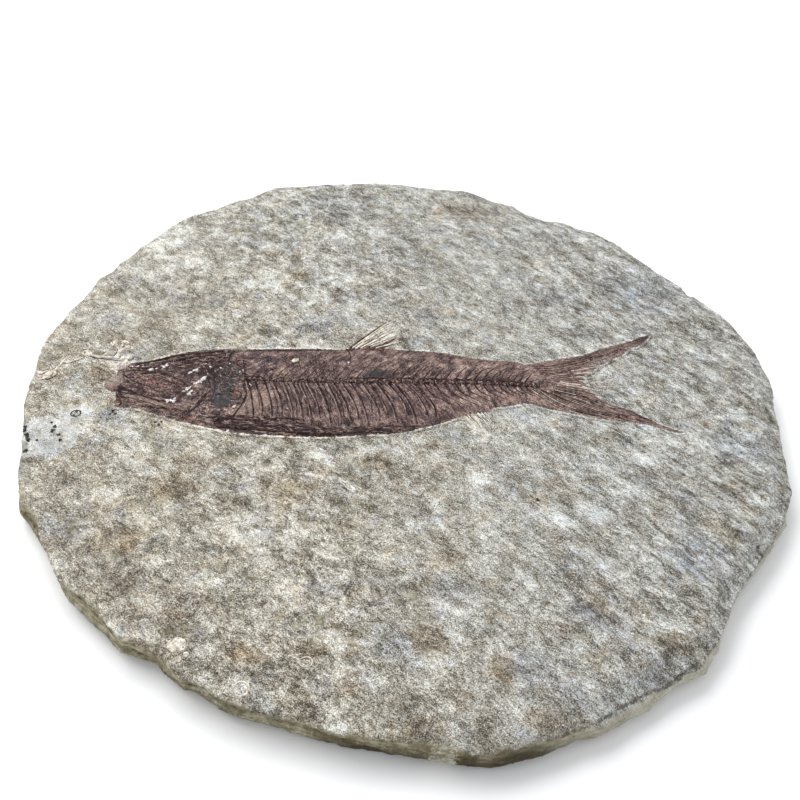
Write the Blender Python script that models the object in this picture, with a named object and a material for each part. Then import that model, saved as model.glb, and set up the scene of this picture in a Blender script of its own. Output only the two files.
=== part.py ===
"""A fossil herring on its slab of bedded limestone, about 17 cm across.

Two solids: the slab, one split and chipped stone with a shallow bed where the fish was uncovered, and the
fish, one thin brown fossil of skin, skull, backbone, ribs and fins that lies in that bed. The slab lies flat,
+Z is up, and +X runs along the fish from its snout to its tail. The origin is the middle of the underside.
"""

import math

import bmesh
import bpy
from mathutils import Vector, noise
from mathutils.geometry import delaunay_2d_cdt

MM = 0.001

# The slab, in millimetres.
SLAB_THICKNESS = 6.5
RIM_STEP = 4.4           # longest straight run between two points of the chipped edge
RIM_RAGGED = 0.25        # how far a point between two corners strays in or out
TOP_STEP = 4.3           # spacing of the points of the split face
TOP_LUMPS = 0.36         # height of the lumps of the split face
LUMP_SIZE = 11.0
FINER_LUMPS = 2.3        # smaller lumps lie on the large ones, this many times finer and half as high
BED_FADE = 6.0           # over this distance from the fish the lumps die out to the prepared face
LUMPS_LEFT = 0.25        # and this share of them is left there

# The chipped edge of the split face: bearing from +X in degrees, and distance from the centre, at each break.
RIM_CORNERS = (
    (4, 86.4), (10.5, 86.4), (19, 86.4), (25.5, 84), (26.5, 82.4), (29, 83.2), (37.5, 83), (48, 84.2),
    (58, 82), (59.5, 80.6), (64, 81.4), (66.5, 83.2), (71.5, 83.4), (76, 85.6), (94, 86.4), (112.5, 89),
    (115, 88.4), (119, 86.4), (120.5, 87), (131.5, 87.4), (138, 86.2), (153, 85.4), (170.5, 86.4),
    (183.5, 86), (202, 87.6), (206.5, 85.8), (215.5, 87), (221, 86), (228.5, 85.8), (233, 83.6),
    (238, 85.2), (239, 84.4), (243.5, 85), (258, 84.8), (275, 86.6), (288.5, 85), (300.5, 83.8),
    (305, 85.6), (309, 84.4), (316, 81.2), (334.5, 84.4), (340, 84.8),
)  # fmt: skip

# The broken side, from the split face down: (height, how far it stands out from the chipped edge, how much
# less where a parting between two beds has opened). The upper bed ends in a rounded arris, and the lower one
# is undercut at the underside.
RIM_LEVELS = (
    (6.5, -0.7, 0.0),
    (6.05, -0.1, 0.0),
    (5.1, 0.15, 0.1),
    (4.45, -0.05, 0.9),
    (3.9, -0.1, 1.0),
    (3.4, 0.1, 0.15),
    (2.2, 0.2, 0.0),
    (1.2, -0.1, 0.6),
    (0.4, -0.8, 0.3),
    (0.0, -1.7, 0.0),
)
PARTING_RUN = 24.0       # a parting opens and closes along the edge over about this length
LEVEL_WANDER = 0.7       # how much each level of the side strays in and out along the edge
WANDER_RUN = 9.0

# Chips out of the upper bed: (bearing, half width in degrees, depth, lowest level that it reaches).
RIM_CHIPS = (
    (221.5, 4.0, 1.5, 3.6),
    (275.5, 1.2, 1.3, 3.6),
    (306.5, 5.0, 1.0, 4.0),
    (150.0, 3.0, 0.9, 4.0),
)
# Where the lower bed stands out as a shelf past the upper one: (bearing, half width, how far).
RIM_SHELVES = ((108.0, 13.0, 1.6), (248.0, 14.0, 0.8), (206.0, 7.0, 0.9))
SHELF_TOP = 3.6          # the shelf is everything below this level

# The fish, in millimetres: its outline seen from above, from the snout over the back to the tail and home.
SNOUT = ((-69.3, -0.8), (-69.0, 1.8), (-67.2, 3.0))
BACK = (
    (-67.4, 6.4), (-63.7, 7.2), (-59.6, 8.2), (-55.3, 10.0), (-50.0, 11.5), (-43.8, 12.2), (-37.1, 12.4),
    (-22.9, 12.8), (-14.9, 13.0),
)  # fmt: skip
DORSAL_FIN = ((-10.6, 18.2), (-6.2, 22.8), (-3.6, 20.6), (-2.6, 17.2), (-6.4, 13.2))
BACK_TO_TAIL = ((-2.8, 12.9), (7.0, 12.1), (14.9, 10.2), (24.4, 9.2), (26.9, 8.2), (31.7, 9.6))
UPPER_LOBE = (
    (40.9, 11.8), (45.5, 14.0), (51.5, 16.4), (55.7, 18.1), (59.6, 19.9), (57.0, 16.3), (53.5, 14.4),
    (50.2, 11.6), (46.3, 9.4), (42.8, 6.7), (40.3, 4.6),
)  # fmt: skip
TAIL_FORK = ((40.6, 1.4),)
LOWER_LOBE = (
    (41.1, -1.8), (44.7, -4.8), (48.4, -6.3), (52.8, -9.5), (55.8, -11.6), (59.5, -13.2), (57.5, -13.4),
    (51.9, -11.2), (42.6, -9.6), (34.4, -7.6),
)  # fmt: skip
TAIL_TO_BELLY = ((28.1, -5.8), (25.7, -4.7), (21.0, -5.6), (16.7, -6.8))
ANAL_FIN = ((15.6, -11.8), (14.7, -16.3), (12.8, -15.9), (11.6, -12.0))
BELLY = (
    (9.8, -9.2), (6.2, -10.7), (2.5, -12.1), (-4.9, -14.3), (-9.7, -14.7), (-20.1, -15.6), (-29.9, -15.3),
    (-40.2, -14.5), (-45.4, -13.1), (-52.2, -11.2), (-57.4, -9.0), (-62.0, -7.4), (-66.1, -6.9),
    (-66.6, -3.4),
)  # fmt: skip
OUTLINE = (
    SNOUT + BACK + DORSAL_FIN + BACK_TO_TAIL + UPPER_LOBE + TAIL_FORK + LOWER_LOBE + TAIL_TO_BELLY + ANAL_FIN
    + BELLY
)  # fmt: skip

FISH_UNDERSIDE = 5.5     # height of the fossil's flat back
FISH_EDGE = 6.55         # height of the skin along the outline
FISH_FILL = 0.25         # how much the body swells above that, away from the outline
FILL_RUN = 4.0           # and how far inside the outline it has risen in full
FISH_STEP = 2.0          # spacing of the skin's points
GAP = 0.3                # the clearance between the fossil and its bed

BACKBONE = ((-40.0, 2.2), (-22.8, 1.6), (-3.4, 2.0), (16.3, 1.6), (30.5, 0.9))
SHOULDER = -36.0         # the first rib hangs here
VENT = 0.0               # the last rib hangs here, and the tail's spines begin
PEDUNCLE = 28.0          # the tail's spines end here
BACKBONE_HALF = 1.3      # the ribs and spines spring from this far above or below its middle line
# The fin rays of each lobe of the tail fan out: the roots of the first and last, and their tips.
TAIL_RAYS = (
    ((29.6, 7.2), (33.6, 2.6), (58.2, 18.9), (42.2, 6.2)),
    ((29.6, -4.4), (33.6, -0.8), (58.2, -12.9), (42.2, -3.0)),
)
RAY_PLACES = (0.06, 0.32, 0.6, 0.9)     # where the four rays of a lobe lie, from its first to its last
RAY_BOW = 0.5

# The fin on the back has its roots along one line and its tips along another; the vent's fin has one ray.
BACK_FIN_ROOTS = ((-14.6, 12.6), (-7.6, 12.6))
BACK_FIN_TIPS = ((-6.4, 21.8), (-3.6, 17.6))
BACK_FIN_PLACES = (0.1, 0.4, 0.75)
BACK_FIN_BOW = (-0.5, 0.4)
VENT_FIN_RAY = ((12.4, -8.0), (13.2, -12.0), (13.7, -15.4))

RIB_SPACING = 2.4
RIB_LENGTH = 12.4        # the longest rib, a little in front of the middle of the belly
LONGEST_RIB = 0.45
RIB_TAPER = 2.0
RIB_SWEEP = (1.8, 4.4)   # how far the first and the last rib sweep back towards the tail
UPPER_SPINES = (7.2, 3.8)     # how tall the first and the last spine above the backbone are
LOWER_SPINES = (8.2, 3.6)     # and those below it, behind the vent
SPINE_LEAN = 0.75
SPINE_CURVE = 1.15
RIDGE = 0.42             # height of the bones above the skin
BACKBONE_RIDGE = 0.6
BONE_HALF_WIDTH = 0.45
CREST_CLEAR = 0.7        # a crest keeps this far from the crests of the bones made before it
FOOT_CLEAR = 0.36        # and the foot of a ridge this far from every crest
CREST_MARGIN = 0.5       # crests keep this far inside the outline,
FOOT_MARGIN = 0.4        # feet this far,
SKIN_MARGIN = 0.9        # and the skin's own points this far from the outline and from the bones

# Bones of the head, as ridges: the gill cover's edge, its strut, the shoulder, the eye's rim, the jaws.
SKULL_RIDGES = (
    ((-42.5, 9.5), (-40.4, 4.0), (-40.8, -3.5), (-44.2, -9.6), (-48.6, -11.4)),
    ((-47.8, 5.2), (-46.6, -1.5), (-48.6, -8.4)),
    ((-38.3, 9.0), (-36.8, 3.8), (-37.6, -4.2), (-41.6, -11.0)),
    ((-66.0, 3.8), (-60.4, 4.8), (-53.6, 7.6), (-46.4, 9.6)),
    ((-65.4, -4.6), (-59.6, -3.4), (-52.6, -5.8), (-50.4, -9.6)),
    ((-64.6, 0.2), (-59.0, 0.6), (-54.6, -1.6)),
)
EYE = (-56.4, 2.2)
EYE_RADIUS = 3.4

LIMESTONE = (0.48, 0.45, 0.37)
FOSSIL = (0.13, 0.085, 0.072)


def clear_scene():
    for old in list(bpy.data.objects):
        bpy.data.objects.remove(old, do_unlink=True)


def material(name, colour, roughness):
    made = bpy.data.materials.new(name)
    made.use_nodes = True
    shader = made.node_tree.nodes["Principled BSDF"]
    shader.inputs["Base Color"].default_value = (*colour, 1.0)
    shader.inputs["Roughness"].default_value = roughness
    shader.inputs["Metallic"].default_value = 0.0
    return made


def solid(name, mesh, finish):
    """Turns a closed bmesh, in millimetres, into a flat-shaded object in metres."""
    bmesh.ops.triangulate(mesh, faces=mesh.faces[:])
    bmesh.ops.recalc_face_normals(mesh, faces=mesh.faces[:])
    bmesh.ops.scale(mesh, vec=(MM, MM, MM), verts=mesh.verts[:])
    data = bpy.data.meshes.new(name)
    mesh.to_mesh(data)
    mesh.free()
    data.materials.append(finish)
    made = bpy.data.objects.new(name, data)
    bpy.context.scene.collection.objects.link(made)
    return made


def polar(bearing, distance):
    turn = math.radians(bearing)
    return Vector((distance * math.cos(turn), distance * math.sin(turn)))


def bearing_of(point):
    return math.degrees(math.atan2(point.y, point.x)) % 360


def hump(value, centre, half_width):
    """1 at the centre of a stretch of bearings, falling smoothly to 0 at its two ends."""
    away = abs((value - centre + 180) % 360 - 180) / half_width
    return 0.0 if away >= 1 else 0.5 + 0.5 * math.cos(math.pi * away)


def rim_points():
    """The chipped edge, counter-clockwise: each break, and ragged points on the long runs between breaks."""
    breaks = [polar(bearing, distance) for bearing, distance in RIM_CORNERS]
    points = []
    for here, there in zip(breaks, breaks[1:] + breaks[:1]):
        runs = math.ceil((there - here).length / RIM_STEP)
        for k in range(runs):
            point = here.lerp(there, k / runs)
            if k:
                stray = 2 * noise.noise(Vector((point.x, point.y, 0)) * 0.3)
                point += point.normalized() * RIM_RAGGED * stray
            points.append(point)
    return points


def side_ring(points, level, height, stand_out, parting):
    """One level of the broken side: the edge moved in or out, with its partings, chips and shelves."""
    ring = []
    for point in points:
        bearing = bearing_of(point)
        opened = 0.5 + 1.5 * noise.noise(Vector((*point / PARTING_RUN, height / SLAB_THICKNESS * 1.5)))
        out = stand_out - parting * max(0.0, min(1.0, opened))
        out += LEVEL_WANDER * noise.noise(Vector((*point / WANDER_RUN, level * 1.7)))
        for centre, half_width, depth, lowest in RIM_CHIPS:
            if height > lowest:
                share = (height - lowest) / (SLAB_THICKNESS - lowest)
                out -= depth * hump(bearing, centre, half_width) * share
        if 0 < height < SHELF_TOP:
            out += sum(far * hump(bearing, centre, half) for centre, half, far in RIM_SHELVES)
        ring.append(Vector((*(point + point.normalized() * out), height)))
    return ring


def inside(point, outline):
    """Whether a point lies within a closed outline."""
    found = False
    for a, b in zip(outline, outline[1:] + outline[:1]):
        if (a.y > point.y) != (b.y > point.y):
            if point.x < a.x + (b.x - a.x) * (point.y - a.y) / (b.y - a.y):
                found = not found
    return found


def distance_to(point, outline):
    """How far a point is from a closed outline."""
    nearest = math.inf
    for a, b in zip(outline, outline[1:] + outline[:1]):
        along = b - a
        part = max(0.0, min(1.0, (point - a).dot(along) / along.length_squared))
        nearest = min(nearest, (a + along * part - point).length)
    return nearest


def grown(outline, by):
    """A closed counter-clockwise outline moved outwards by a distance, with its sharp tips cut short."""
    moved = []
    for before, here, after in zip(outline[-1:] + outline[:-1], outline, outline[1:] + outline[:1]):
        first = (here - before).normalized()
        second = (after - here).normalized()
        outwards = Vector((first.y + second.y, -first.x - second.x))
        outwards = outwards.normalized() if outwards.length > 0.2 else (first - second).normalized()
        square = Vector((first.y, -first.x)).dot(outwards)
        moved.append(here + outwards * min(by / max(square, 0.3), by * 2.2))
    return moved


def filled(mesh, loops, extra, links, height_of, keep):
    """Fills the space between closed loops of made vertices with triangles over extra points, some linked."""
    flat, edges, made = [], [], []
    for loop in loops:
        start = len(flat)
        flat += [vert.co.to_2d() for vert in loop]
        made += loop
        edges += [(start + k, start + (k + 1) % len(loop)) for k in range(len(loop))]
    edges += [(len(flat) + here, len(flat) + there) for here, there in links]
    flat += extra
    points, _, faces, sources, _, _ = delaunay_2d_cdt(flat, edges, [], 0, 1e-5)
    verts = []
    for point, source in zip(points, sources):
        held = [index for index in source if index < len(made)]
        verts.append(made[held[0]] if held else mesh.verts.new((*point, height_of(point))))
    for face in faces:
        middle = sum((points[index] for index in face), Vector((0, 0))) / len(face)
        if keep(middle):
            mesh.faces.new([verts[index] for index in face])
    for vert in [vert for vert in verts if not vert.link_faces]:
        mesh.verts.remove(vert)


def scattered(outline, step, clear, avoid=()):
    """Points on a staggered grid within an outline, each at least a distance clear of it and of others."""
    low = Vector((min(p.x for p in outline), min(p.y for p in outline)))
    high = Vector((max(p.x for p in outline), max(p.y for p in outline)))
    points = []
    for row in range(int((high.y - low.y) / (step * 0.87)) + 1):
        for column in range(int((high.x - low.x) / step) + 1):
            point = low + Vector((column * step + step / 2 * (row % 2), row * step * 0.87))
            point += Vector(noise.noise_vector(Vector((point.x, point.y, 5)) * 0.31)).to_2d() * step * 0.45
            if not inside(point, outline) or distance_to(point, outline) < clear:
                continue
            if all((point - other).length > clear for other in avoid):
                points.append(point)
    return points


def walled(mesh, upper, lower):
    """A band of faces from one closed ring of vertices down to the next."""
    for k, vert in enumerate(upper):
        after = (k + 1) % len(upper)
        mesh.faces.new((vert, lower[k], lower[after], upper[after]))


def lumps(point):
    """Height of the split face above or below its mean level."""
    coarse = noise.noise(Vector((point.x, point.y, 0)) / LUMP_SIZE)
    fine = noise.noise(Vector((point.x, point.y, 40)) / LUMP_SIZE * FINER_LUMPS)
    return TOP_LUMPS * (coarse + 0.5 * fine) * 1.4


def make_slab(fish_outline, finish):
    mesh = bmesh.new()
    edge = rim_points()
    rings = [side_ring(edge, level, *sizes) for level, sizes in enumerate(RIM_LEVELS)]
    rings = [[mesh.verts.new(point) for point in ring] for ring in rings]
    for upper, lower in zip(rings, rings[1:]):
        walled(mesh, upper, lower)
    mesh.faces.new(rings[-1])

    pocket = grown(fish_outline, GAP)
    lip = [mesh.verts.new((*point, SLAB_THICKNESS)) for point in pocket]
    floor = [mesh.verts.new((*point, FISH_UNDERSIDE - GAP)) for point in pocket]
    walled(mesh, lip[::-1], floor[::-1])
    mesh.faces.new(floor)

    top_edge = [vert.co.to_2d() for vert in rings[0]]

    def height_of(point):
        fade = min(1.0, distance_to(point, pocket) / BED_FADE, distance_to(point, top_edge) / BED_FADE)
        return SLAB_THICKNESS + lumps(point) * (LUMPS_LEFT + (1 - LUMPS_LEFT) * fade)

    points = [point for point in scattered(top_edge, TOP_STEP, TOP_STEP * 0.45) if not inside(point, pocket)]
    points = [point for point in points if distance_to(point, pocket) > TOP_STEP * 0.3]

    def on_face(middle):
        return inside(middle, top_edge) and not inside(middle, pocket)

    filled(mesh, [rings[0], lip], points, [], height_of, on_face)
    return solid("slab", mesh, finish)


def curve_through(points, count):
    """Points spaced along a smooth curve through some given ones."""
    ends = [2 * points[0] - points[1]] + points + [2 * points[-1] - points[-2]]
    made = []
    for k in range(count):
        place = k / (count - 1) * (len(points) - 1)
        first = min(int(place), len(points) - 2)
        t = place - first
        a, b, c, d = ends[first : first + 4]
        slope, bend, twist = c - a, 2 * a - 5 * b + 4 * c - d, 3 * b - a - 3 * c + d
        made.append(0.5 * (2 * b + slope * t + bend * t * t + twist * t**3))
    return made


def backbone_y(x):
    """Where the backbone runs, across the fish, at a place along it."""
    for (x0, y0), (x1, y1) in zip(BACKBONE, BACKBONE[1:]):
        if x <= x1:
            return y0 + (y1 - y0) * (x - x0) / (x1 - x0)
    return BACKBONE[-1][1]


def ribs():
    """The ribs hang from the backbone in front of the vent, each sweeping back as it falls."""
    count = round((VENT - SHOULDER) / RIB_SPACING)
    for rib in range(count + 1):
        part = rib / count
        x = SHOULDER + part * (VENT - SHOULDER)
        length = RIB_LENGTH - RIB_TAPER * abs(part - LONGEST_RIB)
        sweep = RIB_SWEEP[0] + (RIB_SWEEP[1] - RIB_SWEEP[0]) * part
        top = backbone_y(x) - BACKBONE_HALF
        yield [
            Vector((x + sweep * math.sin(math.pi / 2 * down), top - length * down))
            for down in (k / 7 for k in range(8))
        ]


def spines(side, first, reaches):
    """The spines above (side +1) or below (side -1) the backbone, each leaning back towards the tail."""
    x = first
    while x < PEDUNCLE:
        reach = reaches[0] + (reaches[1] - reaches[0]) * (x - first) / (PEDUNCLE - first)
        start = Vector((x, backbone_y(x) + side * BACKBONE_HALF))
        yield [
            start + Vector((SPINE_LEAN * reach * along, side * reach * along**SPINE_CURVE))
            for along in (0.0, 0.25, 0.5, 0.75, 1.0)
        ]
        x += RIB_SPACING


def tail_rays():
    """The fin rays of the two lobes, each bowed a little towards the fish's own axis."""
    for lobe in TAIL_RAYS:
        first_root, last_root, first_tip, last_tip = (Vector(point) for point in lobe)
        for part in RAY_PLACES:
            root = first_root.lerp(last_root, part)
            tip = first_tip.lerp(last_tip, part)
            middle = root.lerp(tip, 0.5)
            middle.y -= math.copysign(RAY_BOW, middle.y)
            yield curve_through([root, middle, tip], 8)


def fin_rays():
    """The rays of the fin on the back and of the small fin behind the vent."""
    first_root, last_root, first_tip, last_tip = (Vector(point) for point in BACK_FIN_ROOTS + BACK_FIN_TIPS)
    for part in BACK_FIN_PLACES:
        root = first_root.lerp(last_root, part)
        tip = first_tip.lerp(last_tip, part)
        yield curve_through([root, root.lerp(tip, 0.5) + Vector(BACK_FIN_BOW), tip], 5)
    yield curve_through([Vector(point) for point in VENT_FIN_RAY], 4)


def place(point):
    """A point's coordinates, rounded, to find it again by."""
    return round(point.x, 3), round(point.y, 3)


def skull():
    """The ridges of the head's bones, and the rim of the eye."""
    for ridge in SKULL_RIDGES:
        given = [Vector(point) for point in ridge]
        yield curve_through(given, len(given) * 2 - 1)
    centre = Vector(EYE)
    yield [centre + polar(30 + turn, EYE_RADIUS) for turn in range(0, 331, 30)]


def make_fish(outline, finish):
    mesh = bmesh.new()
    edge = [mesh.verts.new((*point, FISH_EDGE)) for point in outline]
    back = [mesh.verts.new((*point, FISH_UNDERSIDE)) for point in outline]
    walled(mesh, edge, back)
    mesh.faces.new(back)

    spine = curve_through([Vector(point) for point in BACKBONE], 26)
    bones = [(spine, BACKBONE_RIDGE)]
    for group in (
        ribs(),
        spines(1, SHOULDER, UPPER_SPINES),
        spines(-1, VENT + 1.5, LOWER_SPINES),
        tail_rays(),
        fin_rays(),
        skull(),
    ):
        bones += [(line, RIDGE) for line in group]

    def skin(point):
        return FISH_EDGE + FISH_FILL * min(1.0, distance_to(point, outline) / FILL_RUN)

    def well_inside(point, margin):
        return inside(point, outline) and distance_to(point, outline) > margin

    tops, heights, links, feet = [], {}, [], []
    for line, height in bones:
        line = [point for point in line if well_inside(point, CREST_MARGIN)]
        line = [point for point in line if all((point - top).length > CREST_CLEAR for top in tops)]
        links += [(len(tops) + k, len(tops) + k + 1) for k in range(len(line) - 1)]
        tops += line
        heights |= {place(point): height for point in line}
        for before, here, after in zip(line[:1] + line, line, line[1:] + line[-1:]):
            across = Vector((before.y - after.y, after.x - before.x)).normalized() * BONE_HALF_WIDTH
            feet += [here + across, here - across]
    feet = [point for point in feet if well_inside(point, FOOT_MARGIN)]
    feet = [point for point in feet if all((point - top).length > FOOT_CLEAR for top in tops)]
    skin_points = scattered(outline, FISH_STEP, SKIN_MARGIN, tops + feet)

    def height_of(point):
        return skin(point) + heights.get(place(point), 0.0)

    def on_skin(middle):
        return inside(middle, outline)

    filled(mesh, [edge], tops + feet + skin_points, links, height_of, on_skin)
    return solid("fish", mesh, finish)


def centred(*objects):
    """Moves the model so that the origin is the middle of its box, at the underside."""
    corners = [vert.co for made in objects for vert in made.data.vertices]
    low = Vector([min(corner[k] for corner in corners) for k in range(3)])
    high = Vector([max(corner[k] for corner in corners) for k in range(3)])
    shift = Vector((-(low.x + high.x) / 2, -(low.y + high.y) / 2, -low.z))
    for made in objects:
        for vert in made.data.vertices:
            vert.co += shift


clear_scene()
fish_outline = [Vector(point) for point in OUTLINE][::-1]
slab = make_slab(fish_outline, material("limestone", LIMESTONE, 0.9))
fish = make_fish(fish_outline, material("fossil", FOSSIL, 0.6))
centred(slab, fish)
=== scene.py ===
import math
import random

import bmesh
import bpy
import numpy as np
from mathutils import Matrix, Vector, noise
from mathutils.bvhtree import BVHTree


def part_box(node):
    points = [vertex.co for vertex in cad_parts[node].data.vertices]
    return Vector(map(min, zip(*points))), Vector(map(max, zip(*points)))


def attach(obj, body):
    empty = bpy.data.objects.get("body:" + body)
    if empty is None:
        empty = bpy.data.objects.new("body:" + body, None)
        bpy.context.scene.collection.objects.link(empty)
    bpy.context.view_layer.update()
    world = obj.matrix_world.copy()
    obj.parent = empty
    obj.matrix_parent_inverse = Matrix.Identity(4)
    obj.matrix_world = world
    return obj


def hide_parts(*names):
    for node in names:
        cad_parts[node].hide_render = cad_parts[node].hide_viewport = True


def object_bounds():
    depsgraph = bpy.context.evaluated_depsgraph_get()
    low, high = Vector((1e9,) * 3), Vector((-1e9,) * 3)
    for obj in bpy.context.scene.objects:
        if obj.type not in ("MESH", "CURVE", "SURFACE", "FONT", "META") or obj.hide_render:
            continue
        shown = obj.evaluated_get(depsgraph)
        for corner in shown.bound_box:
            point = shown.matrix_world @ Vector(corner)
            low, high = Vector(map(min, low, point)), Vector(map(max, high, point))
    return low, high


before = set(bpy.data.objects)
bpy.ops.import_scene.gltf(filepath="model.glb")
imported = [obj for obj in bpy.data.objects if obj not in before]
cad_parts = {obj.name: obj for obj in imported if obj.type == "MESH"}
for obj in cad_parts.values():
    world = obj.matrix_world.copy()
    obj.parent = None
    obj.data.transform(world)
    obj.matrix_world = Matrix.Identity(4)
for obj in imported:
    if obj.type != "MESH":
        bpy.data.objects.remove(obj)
MM = 0.001
cad_box = [list(corner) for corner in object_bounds()]
random.seed(19)

# ------------------------------------------------------------
# The camera stands close over the belly side of the fish and looks steeply down along the slab, a little
# towards the tail, with its own slight roll. Its height is measured from the split face.
camera_height = 152.7 * MM
camera_spot = (-22.5 * MM, -157.6 * MM)
camera_pitch, camera_heading, camera_roll = 44.6, 6.94, 5.5
field_of_view = 45

split_face = 6.5 * MM
bpy.ops.object.camera_add()
camera = bpy.context.object
camera.name = "camera"
camera.data.angle = math.radians(field_of_view)
camera.data.clip_start = 0.01
camera.matrix_world = (
    Matrix.Translation((*camera_spot, split_face + camera_height))
    @ Matrix.Rotation(-math.radians(camera_heading), 4, "Z")
    @ Matrix.Rotation(math.radians(90 - camera_pitch), 4, "X")
    @ Matrix.Rotation(math.radians(camera_roll), 4, "Z")
)
bpy.context.scene.camera = camera
bpy.context.scene.view_settings.view_transform = "Standard"

# ------------------------------------------------------------
# The table and the light: a plain white top, a broad soft window high behind the slab that rakes over its
# lumps, and a pale room that fills in the shadows.
bpy.ops.mesh.primitive_plane_add(size=6, location=(0, 0, -0.0002))
table_top = bpy.context.object
table_top.name = "table_top"
table_white = bpy.data.materials.new("table_white")
table_white.use_nodes = True
table_white.node_tree.nodes["Principled BSDF"].inputs["Base Color"].default_value = (0.93, 0.93, 0.93, 1)
table_white.node_tree.nodes["Principled BSDF"].inputs["Roughness"].default_value = 0.9
table_top.data.materials.append(table_white)

bpy.ops.object.light_add(type="AREA", location=(-0.42, 0.62, 0.62))
window = bpy.context.object
window.name = "window"
window.data.shape = "RECTANGLE"
window.data.size, window.data.size_y = 1.2, 0.8
window.data.energy = 14.6
window.rotation_euler = (-window.location).to_track_quat("-Z", "Y").to_euler()

room = bpy.data.worlds.new("room")
room.use_nodes = True
room.node_tree.nodes["Background"].inputs["Color"].default_value = (0.96, 0.98, 1, 1)
room.node_tree.nodes["Background"].inputs["Strength"].default_value = 0.78
bpy.context.scene.world = room

# ------------------------------------------------------------
# The stone: one slab of fine bedded lake limestone, split along a bedding plane and chipped round by hand.
# The split face is lumpy and mottled, the broken edge shows the beds, and the back is a rougher split.
voxel = 0.56 * MM
stone = bpy.data.objects.new("stone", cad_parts["slab"].data.copy())
bpy.context.scene.collection.objects.link(stone)


def pick(piece):
    """Makes one piece the only selected one and the active one."""
    bpy.ops.object.select_all(action="DESELECT")
    piece.select_set(True)
    bpy.context.view_layer.objects.active = piece


def points_of(piece):
    """A piece's vertices as rows of x, y, z."""
    flat = np.empty(len(piece.data.vertices) * 3, np.float32)
    piece.data.vertices.foreach_get("co", flat)
    return flat.reshape(-1, 3).astype(float)


def move_points(piece, points):
    piece.data.vertices.foreach_set("co", points.astype(np.float32).ravel())
    piece.data.update()


def group_by(piece, name, weights):
    """A vertex group with a weight for each vertex, in tenths."""
    group = piece.vertex_groups.new(name=name)
    tenths = np.clip(np.round(np.asarray(weights, float) * 10), 0, 10).astype(int)
    for tenth in range(1, 11):
        chosen = np.flatnonzero(tenths == tenth)
        if len(chosen):
            group.add(chosen.tolist(), tenth / 10, "REPLACE")
    return group


def roughen(piece, name, size, height, group, direction="NORMAL", guide=None):
    """Displaces a piece by clouds of lumps of one size, within a vertex group."""
    clouds = bpy.data.textures.new(name, "CLOUDS")
    clouds.noise_scale = size
    clouds.noise_depth = 2
    lumps = piece.modifiers.new(name, "DISPLACE")
    lumps.texture = clouds
    lumps.texture_coords = "OBJECT" if guide else "LOCAL"
    if guide:
        lumps.texture_coords_object = guide
    lumps.direction = direction
    lumps.vertex_group = group
    lumps.strength = height
    lumps.mid_level = 0.5
    pick(piece)
    bpy.ops.object.modifier_apply(modifier=name)


def smooth_through(points, count, closed=False):
    """A smooth curve through some points, with a number of points to each stretch."""
    points = np.asarray(points, float)
    if closed:
        ends = np.concatenate([points[-1:], points, points[:2]])
    else:
        ends = np.concatenate([2 * points[:1] - points[1:2], points, 2 * points[-1:] - points[-2:-1]])
    t = np.linspace(0, 1, count, endpoint=False)[:, None]
    made = []
    for a, b, c, d in zip(ends, ends[1:], ends[2:], ends[3:]):
        out, back = (c - a) * 0.42, (d - b) * 0.42
        near, far = 2 * t**3 - 3 * t**2 + 1, 3 * t**2 - 2 * t**3
        made.append(near * b + (t**3 - 2 * t**2 + t) * out + far * c + (t**3 - t**2) * back)
    if not closed:
        made.append(points[-1:])
    return np.concatenate(made)


def outline_of(node):
    """The ring of corners round the flat back of a CAD node, in order."""
    mesh = bmesh.new()
    mesh.from_mesh(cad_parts[node].data)
    bmesh.ops.remove_doubles(mesh, verts=mesh.verts[:], dist=1e-6)
    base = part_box(node)[0].z + 0.01 * MM
    back = [face for face in mesh.faces if all(vert.co.z < base for vert in face.verts)]
    after = {}
    for face in back:
        for loop in face.loops:
            if sum(other in back for other in loop.edge.link_faces) == 1:
                after[loop.link_loop_next.vert] = loop.vert
    start = here = next(iter(after))
    ring = []
    while here is not start or not ring:
        ring.append(here.co.to_2d().to_tuple())
        here = after[here]
    mesh.free()
    return np.array(ring)


def evenly(ring, gap):
    """The same closed ring with its points a set distance apart."""
    closed = np.concatenate([ring, ring[:1]])
    along = np.concatenate([[0], np.cumsum(np.hypot(*np.diff(closed, axis=0).T))])
    stops = np.arange(0, along[-1], gap)
    return np.column_stack([np.interp(stops, along, closed[:, k]) for k in (0, 1)])


fish_outline = evenly(smooth_through(outline_of("fish"), 12, closed=True), 0.3 * MM)


def within(points, ring):
    """Whether each point lies inside a closed ring."""
    inside = np.zeros(len(points), bool)
    for (x0, y0), (x1, y1) in zip(ring, np.roll(ring, -1, 0)):
        if y0 == y1:
            continue
        crosses = (y0 > points[:, 1]) != (y1 > points[:, 1])
        inside ^= crosses & (points[:, 0] < x0 + (x1 - x0) * (points[:, 1] - y0) / (y1 - y0))
    return inside


def depth_in(points, ring):
    """How far each point lies inside a ring of close points, negative outside it."""
    nearest = np.empty(len(points))
    for start in range(0, len(points), 4000):
        part = points[start : start + 4000]
        gaps = part[:, None, :] - ring[None, :, :]
        nearest[start : start + 4000] = np.sqrt((gaps**2).sum(2).min(1))
    return np.where(within(points, ring), nearest, -nearest)


pick(stone)
bpy.ops.object.mode_set(mode="EDIT")
bpy.ops.mesh.select_all(action="SELECT")
bpy.ops.mesh.remove_doubles(threshold=1e-6)
bpy.ops.object.mode_set(mode="OBJECT")
fine = stone.modifiers.new("fine", "REMESH")
fine.mode = "VOXEL"
fine.voxel_size = voxel
bpy.ops.object.modifier_apply(modifier="fine")

places = points_of(stone)
group_by(stone, "back", places[:, 2] < 0.4 * MM)
thin = stone.modifiers.new("thin", "DECIMATE")
thin.ratio = 0.55
thin.vertex_group = "back"
bpy.ops.object.modifier_apply(modifier="thin")

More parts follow.
